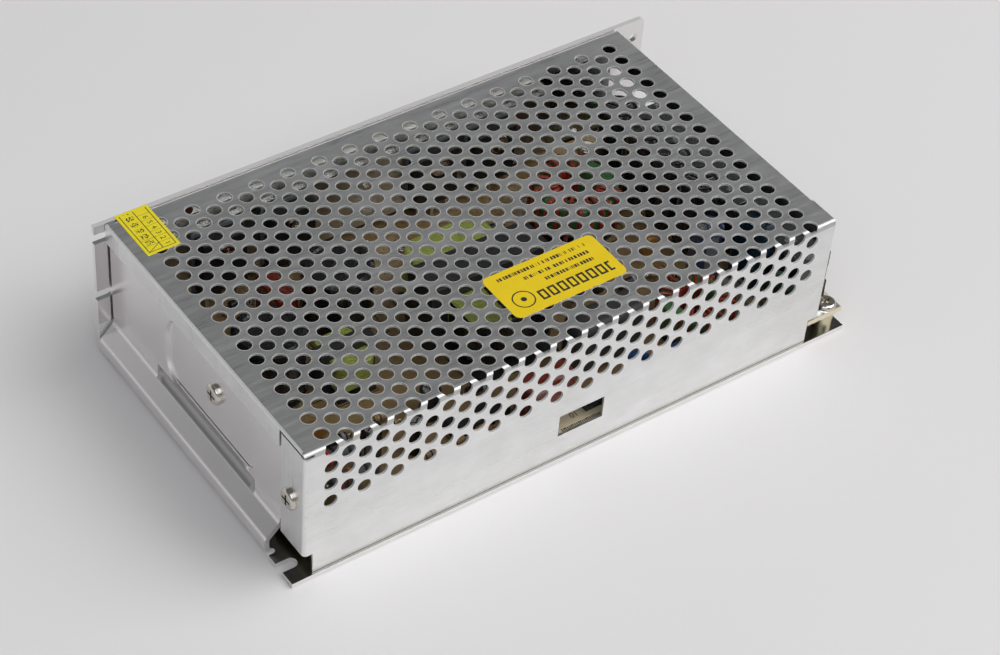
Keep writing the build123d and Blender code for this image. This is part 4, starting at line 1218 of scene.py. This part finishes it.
    def build(self) -> None:
        """Dresses the board and what holds it."""
        self.dress(BOARD_TAN, "circuit_board")
        self.dress(FILM_SHEET, "insulating_sheet")
        self.dress(BRASS, "board_spacers")
        self.dress(SCREW_PLATE, "board_screws")
        self.print_outlines()
        self.print_number()
        self.ribbed_strip()
        self.earth()
        self.solder_joints()


@dataclass
class Terminals(Assembly):
    """The terminal block, its metal, the clear flap, the trimmer and the lamp."""

    block_edge: float = 0.15
    flap_edge: float = 0.12

    def build(self) -> None:
        """Dresses the terminal end."""
        self.dress(BLOCK_PLASTIC, "terminal_block")
        self.dress(TIN_PLATE, "terminal_contacts", "terminal_clamps")
        self.dress(SCREW_PLATE, "terminal_screws")
        self.dress(FLAP_PLASTIC, "terminal_flap")
        self.dress(TRIMMER_BLUE, "trimmer_body")
        self.dress(ROTOR_WHITE, "trimmer_rotor")
        self.dress(LAMP_GREEN, "indicator_lamp")
        self.soften("terminal_block", self.block_edge, 2)
        self.soften("terminal_flap", self.flap_edge, 2)


@dataclass
class HeatSink(Assembly):
    """The bar on the side wall and the power packages."""

    bar_edge: float = 0.3

    def build(self) -> None:
        """Dresses the bar, the pads and the packages."""
        self.dress(MILLED_BAR, "heat_sink_bar")
        self.dress(PAD_GREY, "insulating_pads")
        self.dress(SCREW_PLATE, "device_screws")
        self.dress(MOULD_BLACK, "power_transistors", "rectifier_diodes")
        self.dress(BRIDGE_BLACK, "bridge_rectifier")
        self.soften("heat_sink_bar", self.bar_edge, 2)


@dataclass
class Windings(Assembly):
    """The transformers and chokes, with the wires that leave them.

    A lead-out is its choke's middle, its reach from there, its angle, the wire's radius and its height.
    """

    board_top: float = 9.1
    lead_outs: tuple[tuple[Spot, float, float, float, float], ...] = (
        ((52.0, 22.0), 15.15, 37.0, 0.65, 5.0), ((52.0, 22.0), 15.15, -37.0, 0.65, 5.0),
        ((53.6, -37.2), 12.25, 12.0, 0.45, 4.0), ((53.6, -37.2), 12.25, 168.0, 0.45, 4.0),
        ((53.6, -37.2), 12.25, 192.0, 0.45, 4.0), ((53.6, -37.2), 12.25, 348.0, 0.45, 4.0),
    )

    def wires_down(self) -> None:
        """Leads each choke winding's ends down to the board."""
        form = Form()
        for (x, y), reach, angle, radius, height in self.lead_outs:
            out = Vector((1, 0, 0))
            out.rotate(Matrix.Rotation(math.radians(angle), 3, "Z"))
            foot = Vector((x, y, self.board_top)) + out * (reach - radius)
            top = foot + Vector((0, 0, height))
            inner = top - out * (radius * 3.0)
            form.tube(bent(foot, top, inner, radius * 2.0), radius)
        self.piece("choke_lead_outs", form.mesh, WIRE_RED, "copper_red")

    def build(self) -> None:
        """Dresses the wound parts."""
        self.dress(FERRITE, "main_transformer_core", "drive_transformer_core")
        self.dress(NEAR_DARK_COIL, "main_transformer_coil")
        self.dress(COIL_TAPE, "drive_transformer_coil")
        self.dress(BOBBIN_BLACK, "transformer_bobbins", "choke_feet")
        self.dress(RING_GREEN, "output_choke_core", "line_choke_core")
        self.dress(WIRE_RED, "output_choke_coil", "line_choke_coil")
        self.wires_down()


@dataclass
class Cans(Assembly):
    """The electrolytic capacitors: sleeves, bare tops with their vent lines, and the printed stripe.

    A group is its cans' radius, height and middles. Shares are of the can's radius, the stripe's low one of
    its height.
    """

    base: float = 9.1
    groups: tuple[tuple[float, float, tuple[Spot, ...]], ...] = (
        (11.0, 24.4, ((-70.0, 6.0), (-38.0, 20.0))),
        (6.25, 26.8, ((76.5, 34.0), (76.5, 20.2), (76.5, 6.4), (76.5, -7.4))),
        (5.0, 22.0, ((69.0, -21.5),)),
        (3.2, 11.0, (
            (-58.8, -31.0), (-47.0, -36.0), (-36.0, -27.0), (38.0, -8.0), (-86.0, 30.0), (42.0, 2.0),
        )),
    )
    covered_radius: float = 10.0
    bare_share: float = 0.74
    sunk_share: float = 0.05
    vent_share: float = 0.05
    vent_reach: float = 0.86
    vent_depth: float = 0.35 / 6.0
    top_mesh: tuple[int, int] = (16, 72)
    stripe_arc: float = 44.0
    stripe_low: float = 0.16
    stripe_high: float = 0.2
    stripe_steps: int = 10
    first_turn: float = 40.0
    turn_step: float = 77.0
    turn_by_radius: float = 13.0
    stripe_turn: float = 150.0
    proud: float = 0.03

    def vented_top(self, form: Form, radius: float, height: float, spot: Spot, turn: float) -> None:
        """Adds a bare top with three vent lines pressed into it.

        Args:
            form: the mesh that it is added to.
            radius: the can's radius.
            height: its height.
            spot: its middle.
            turn: how far its vent lines are turned, in degrees.
        """
        inner = radius * self.bare_share
        level = self.base + height - radius * self.sunk_share + self.proud
        width = radius * self.vent_share
        rings, sides = self.top_mesh
        loops = []
        for r in range(rings + 1):
            loop = []
            for s in range(sides):
                angle = 2 * math.pi * s / sides
                x, y = math.cos(angle) * inner * r / rings, math.sin(angle) * inner * r / rings
                dip = 0.0
                for k in range(3):
                    way = math.radians(turn + 120.0 * k)
                    along = x * math.cos(way) + y * math.sin(way)
                    off = abs(x * math.sin(way) - y * math.cos(way))
                    if 0.0 <= along < inner * self.vent_reach:
                        dip = max(dip, math.exp(-((off / width) ** 2)))
                loop.append(Vector((spot[0] + x, spot[1] + y, level - dip * self.vent_depth * radius)))
            loops.append(loop)
        centre = form.mesh.verts.new(loops[0][0] * MM)
        made = [[form.mesh.verts.new(p * MM) for p in loop] for loop in loops[1:]]
        for s in range(sides):
            form.mesh.faces.new((centre, made[0][s], made[0][(s + 1) % sides]))
            for low, high in zip(made, made[1:]):
                form.mesh.faces.new((low[s], high[s], high[(s + 1) % sides], low[(s + 1) % sides]))

    def stripe(self, form: Form, radius: float, height: float, spot: Spot, turn: float) -> None:
        """Adds the printed stripe down one side of a sleeve.

        Args:
            form: the mesh that it is added to.
            radius: the can's radius.
            height: its height.
            spot: its middle.
            turn: which way the stripe faces, in degrees.
        """
        low, high = self.base + height * self.stripe_low, self.base + height - radius * self.stripe_high
        columns = []
        for i in range(self.stripe_steps + 1):
            angle = math.radians(turn + self.stripe_arc * (i / self.stripe_steps - 0.5))
            x = spot[0] + (radius + self.proud) * math.cos(angle)
            y = spot[1] + (radius + self.proud) * math.sin(angle)
            columns.append([form.mesh.verts.new(Vector((x, y, z)) * MM) for z in (low, high)])
        for left, right in zip(columns, columns[1:]):
            form.mesh.faces.new((left[0], right[0], right[1], left[1]))

    def build(self) -> None:
        """Dresses the cans and adds their tops and stripes."""
        self.dress(SLEEVE_BLACK, "bulk_capacitor_left", "bulk_capacitor_right", "small_capacitors")
        self.dress(SLEEVE_BLACK, *(f"output_capacitor_{i}" for i in range(1, 5)))
        self.dress(SLEEVE_BLUE, "filter_capacitor")
        tops, covered, stripes = Form(), Form(), Form()
        for radius, height, spots in self.groups:
            for i, spot in enumerate(spots):
                turn = self.first_turn + self.turn_step * i + radius * self.turn_by_radius
                form = covered if radius > self.covered_radius else tops
                self.vented_top(form, radius, height, spot, turn)
                self.stripe(stripes, radius, height, spot, turn + self.stripe_turn)
        self.piece("can_tops", tops.mesh, CAN_TOP, "tin")
        self.piece("covered_can_tops", covered.mesh, CAP_BLACK, "can_black")
        self.piece("sleeve_stripes", stripes.mesh, SLEEVE_PRINT, "film_grey")


@dataclass(frozen=True)
class AxialGroup:
    """Axial parts of one kind, lying along X."""

    radius: float
    length: float
    lift: float
    spots: tuple[Spot, ...]
    bands: tuple[float, ...] = ()


@dataclass
class LeadedParts(Assembly):
    """Film and disc capacitors, resistors, diodes, jumpers, the fuse and the chip."""

    base: float = 9.1
    overhang: float = 1.6
    lead: float = 0.38
    bend: float = 0.5
    into_body: float = 0.2
    paint_height: float = 0.03
    ring_share: float = 0.5 / 1.2
    diode_share: float = 0.8 / 1.2
    resistors: AxialGroup = AxialGroup(1.15, 6.4, 1.3, (
        (-50.0, -22.0), (-50.0, -26.0), (-47.5, -42.0), (-37.0, -42.0), (-4.0, -35.0), (-86.0, -30.0),
        (-52.0, -46.0), (-52.0, -50.0), (34.0, -22.0), (34.0, -18.0), (58.0, -14.0), (58.0, -18.0),
        (-74.0, 40.0),
    ), (-2.1, -1.1, -0.1, 1.9))
    diodes: AxialGroup = AxialGroup(1.5, 6.8, 1.7, (
        (-66.0, -24.0), (-20.0, -27.6), (46.0, -14.0), (-60.0, 39.5), (24.0, 28.0), (-84.0, -20.0),
    ), (2.1,))
    power: AxialGroup = AxialGroup(2.5, 15.0, 6.0, (
        (-72.0, -33.0), (-72.0, -42.0), (-24.0, 38.0),
    ), (-5.0, -3.0, -1.0, 3.6))
    jumpers: AxialGroup = AxialGroup(0.35, 8.0, 0.5, (
        (-40.0, -48.0), (46.0, -20.0), (-75.0, -27.6), (-22.0, 30.0), (66.0, 40.6), (-86.0, 13.0),
    ))

    def wires(self) -> None:
        """Draws the tinned wire over each axial part's leads, bent down at both ends."""
        form = Form()
        for group in (self.resistors, self.diodes, self.power, self.jumpers):
            height = self.base + group.radius + group.lift
            for x, y in group.spots:
                for side in (-1, 1):
                    inner = Vector((x + side * (group.length / 2 - self.into_body), y, height))
                    corner = Vector((x + side * (group.length / 2 + self.overhang), y, height))
                    form.tube(bent(inner, corner, Vector((corner.x, y, self.base)), self.bend), self.lead)
        self.piece("bent_leads", form.mesh, TIN_WIRE, "wire_tin")

    def rings(
        self, name: str, groups: tuple[AxialGroup, ...], finish: Finish, share: float, slot: str
    ) -> None:
        """Paints the rings on axial parts.

        Args:
            name: the piece's name.
            groups: the parts.
            finish: the paint.
            share: one ring's width, as a share of the part's radius.
            slot: handed on to piece.
        """
        form = Form()
        for group in groups:
            outer = group.radius + self.paint_height
            inner = outer - self.into_body
            half = share * group.radius / 2
            profile = [(inner, -half), (outer, -half), (outer, half), (inner, half)]
            for x, y in group.spots:
                for band in group.bands:
                    centre = Vector((x + band, y, self.base + group.radius + group.lift))
                    form.turned(profile, centre, "X", 28)
        self.piece(name, form.mesh, finish, slot)

    def build(self) -> None:
        """Dresses the leaded parts and adds their wires and rings."""
        self.dress(FILM_RED, "film_capacitor_near", "film_capacitor_left")
        self.dress(FILM_TEAL, "film_capacitor_end")
        self.dress(FILM_GREY, "line_capacitor")
        self.dress(DISC_BLUE, "safety_capacitors")
        self.dress(DISC_GREEN, "inrush_thermistor")
        self.dress(DISC_TAN, "ceramic_capacitors")
        self.dress(FUSE_GLASS, "fuse_glass")
        self.dress(TIN_PLATE, "fuse_caps", "fuse_clips")
        self.dress(CHIP_BLACK, "control_chip")
        self.dress(RESISTOR_GREY, "power_resistors")
        self.dress(RESISTOR_TAN, "signal_resistors")
        self.dress(DIODE_BLACK, "small_diodes")
        self.dress(TIN_WIRE, "jumper_wires")
        self.wires()
        banded = (self.resistors, self.power)
        self.rings("resistor_rings", banded, RESISTOR_BANDS, self.ring_share, "resistor_beige")
        self.rings("diode_rings", (self.diodes,), DIODE_BAND, self.diode_share, "film_grey")


@dataclass
class Lamp:
    """A soft lamp that points at the object. Lengths are metres."""

    name: str
    place: tuple[float, float, float]
    size: tuple[float, float]
    power: float
    colour: Colour = (1.0, 1.0, 1.0)
    target: tuple[float, float, float] = (0.0, 0.0, 0.02)

    def build(self) -> None:
        """Hangs the lamp."""
        data = bpy.data.lights.new(self.name, "AREA")
        data.shape = "RECTANGLE"
        data.size, data.size_y = self.size
        data.energy = self.power
        data.color = self.colour
        lamp = added(self.name, data)
        lamp.location = self.place
        lamp.rotation_euler = (Vector(self.target) - Vector(self.place)).to_track_quat("-Z", "Y").to_euler()


@dataclass
class Studio:
    """The pale floor, the soft light and the camera."""

    floor_half: float = 6.0
    floor_drop: float = 0.0002
    floor_colour: Colour = (0.80, 0.79, 0.795)
    floor_roughness: float = 0.9
    threads: float = 900.0
    patches: float = 2.0
    sky: tuple[tuple[float, Colour], ...] = (
        (0.0, (0.62, 0.62, 0.63)), (0.14, (0.44, 0.44, 0.45)),
        (0.42, (0.15, 0.152, 0.155)), (1.0, (0.12, 0.122, 0.125)),
    )
    camera_place: tuple[float, float, float] = (-0.3489716, -0.4481785, 0.5402043)
    camera_turn: tuple[float, float, float] = (0.8135420, -0.0646059, -0.6129557)
    lens: float = 92.587
    lamps: list[Lamp] = field(default_factory=lambda: [
        Lamp("key_light", (1.25, -0.95, 2.1), (2.2, 2.2), 54.0, (1.0, 0.99, 0.975)),
        Lamp("fill_light", (-0.9, -1.1, 1.9), (1.6, 1.6), 13.0, (0.97, 0.98, 1.0)),
        Lamp("far_wall_light", (0.2, 1.9, 0.65), (5.0, 1.0), 5.0, (0.99, 0.99, 1.0)),
    ])

    def lay_floor(self) -> None:
        """Lays the plain floor."""
        form = bmesh.new()
        half = self.floor_half
        corners = [(-half, -half), (half, -half), (half, half), (-half, half)]
        form.faces.new([form.verts.new((x, y, -self.floor_drop)) for x, y in corners])
        mesh = bpy.data.meshes.new("floor")
        form.to_mesh(mesh)
        form.free()
        floor = added("floor", mesh)
        net = ShaderNet(bpy.data.materials.new("floor_cloth"))
        tone = net.even(self.patches, 1.0)
        colour = net.mix(tone, shade(self.floor_colour, 0.97), shade(self.floor_colour, 1.02))
        weave = net.bump(net.even(self.threads), 0.05, 0.3)
        mesh.materials.append(net.surface(Base_Color=colour, Roughness=self.floor_roughness, Normal=weave))

    def light(self) -> None:
        """Sets the surrounding light, pale low down and greyer overhead, and hangs the lamps."""
        world = bpy.data.worlds.new("surroundings")
        bpy.context.scene.world = world
        net = ShaderNet(world)
        height = net.parts(net.node("ShaderNodeTexCoord", output=TEXTURE_GENERATED))[2]
        ramp = {"stops": self.sky, "blend": "LINEAR"}
        net.surface(Color=net.node("ShaderNodeValToRGB", ramp, {0: height}))
        for lamp in self.lamps:
            lamp.build()

    def set_camera(self) -> None:
        """Puts the camera where the photograph was taken from."""
        data = bpy.data.cameras.new("camera")
        data.sensor_fit = "HORIZONTAL"
        data.sensor_width = 36.0
        data.lens = self.lens
        data.clip_start = 0.01
        camera = added("camera", data)
        camera.location = self.camera_place
        camera.rotation_euler = self.camera_turn
        bpy.context.scene.camera = camera

    def build(self) -> None:
        """Sets up the whole studio."""
        self.lay_floor()
        self.light()
        self.set_camera()
        bpy.context.scene.view_settings.view_transform = "Standard"
        log.info("studio ready")


def main() -> None:
    """Builds every assembly."""
    logging.basicConfig(level=logging.INFO, format="%(name)s: %(message)s")
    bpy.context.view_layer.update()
    for assembly in (CaseShell(), Board(), Terminals(), HeatSink(), Windings(), Cans(), LeadedParts()):
        assembly.build()
    Studio().build()


if __name__ == "__main__":
    main()
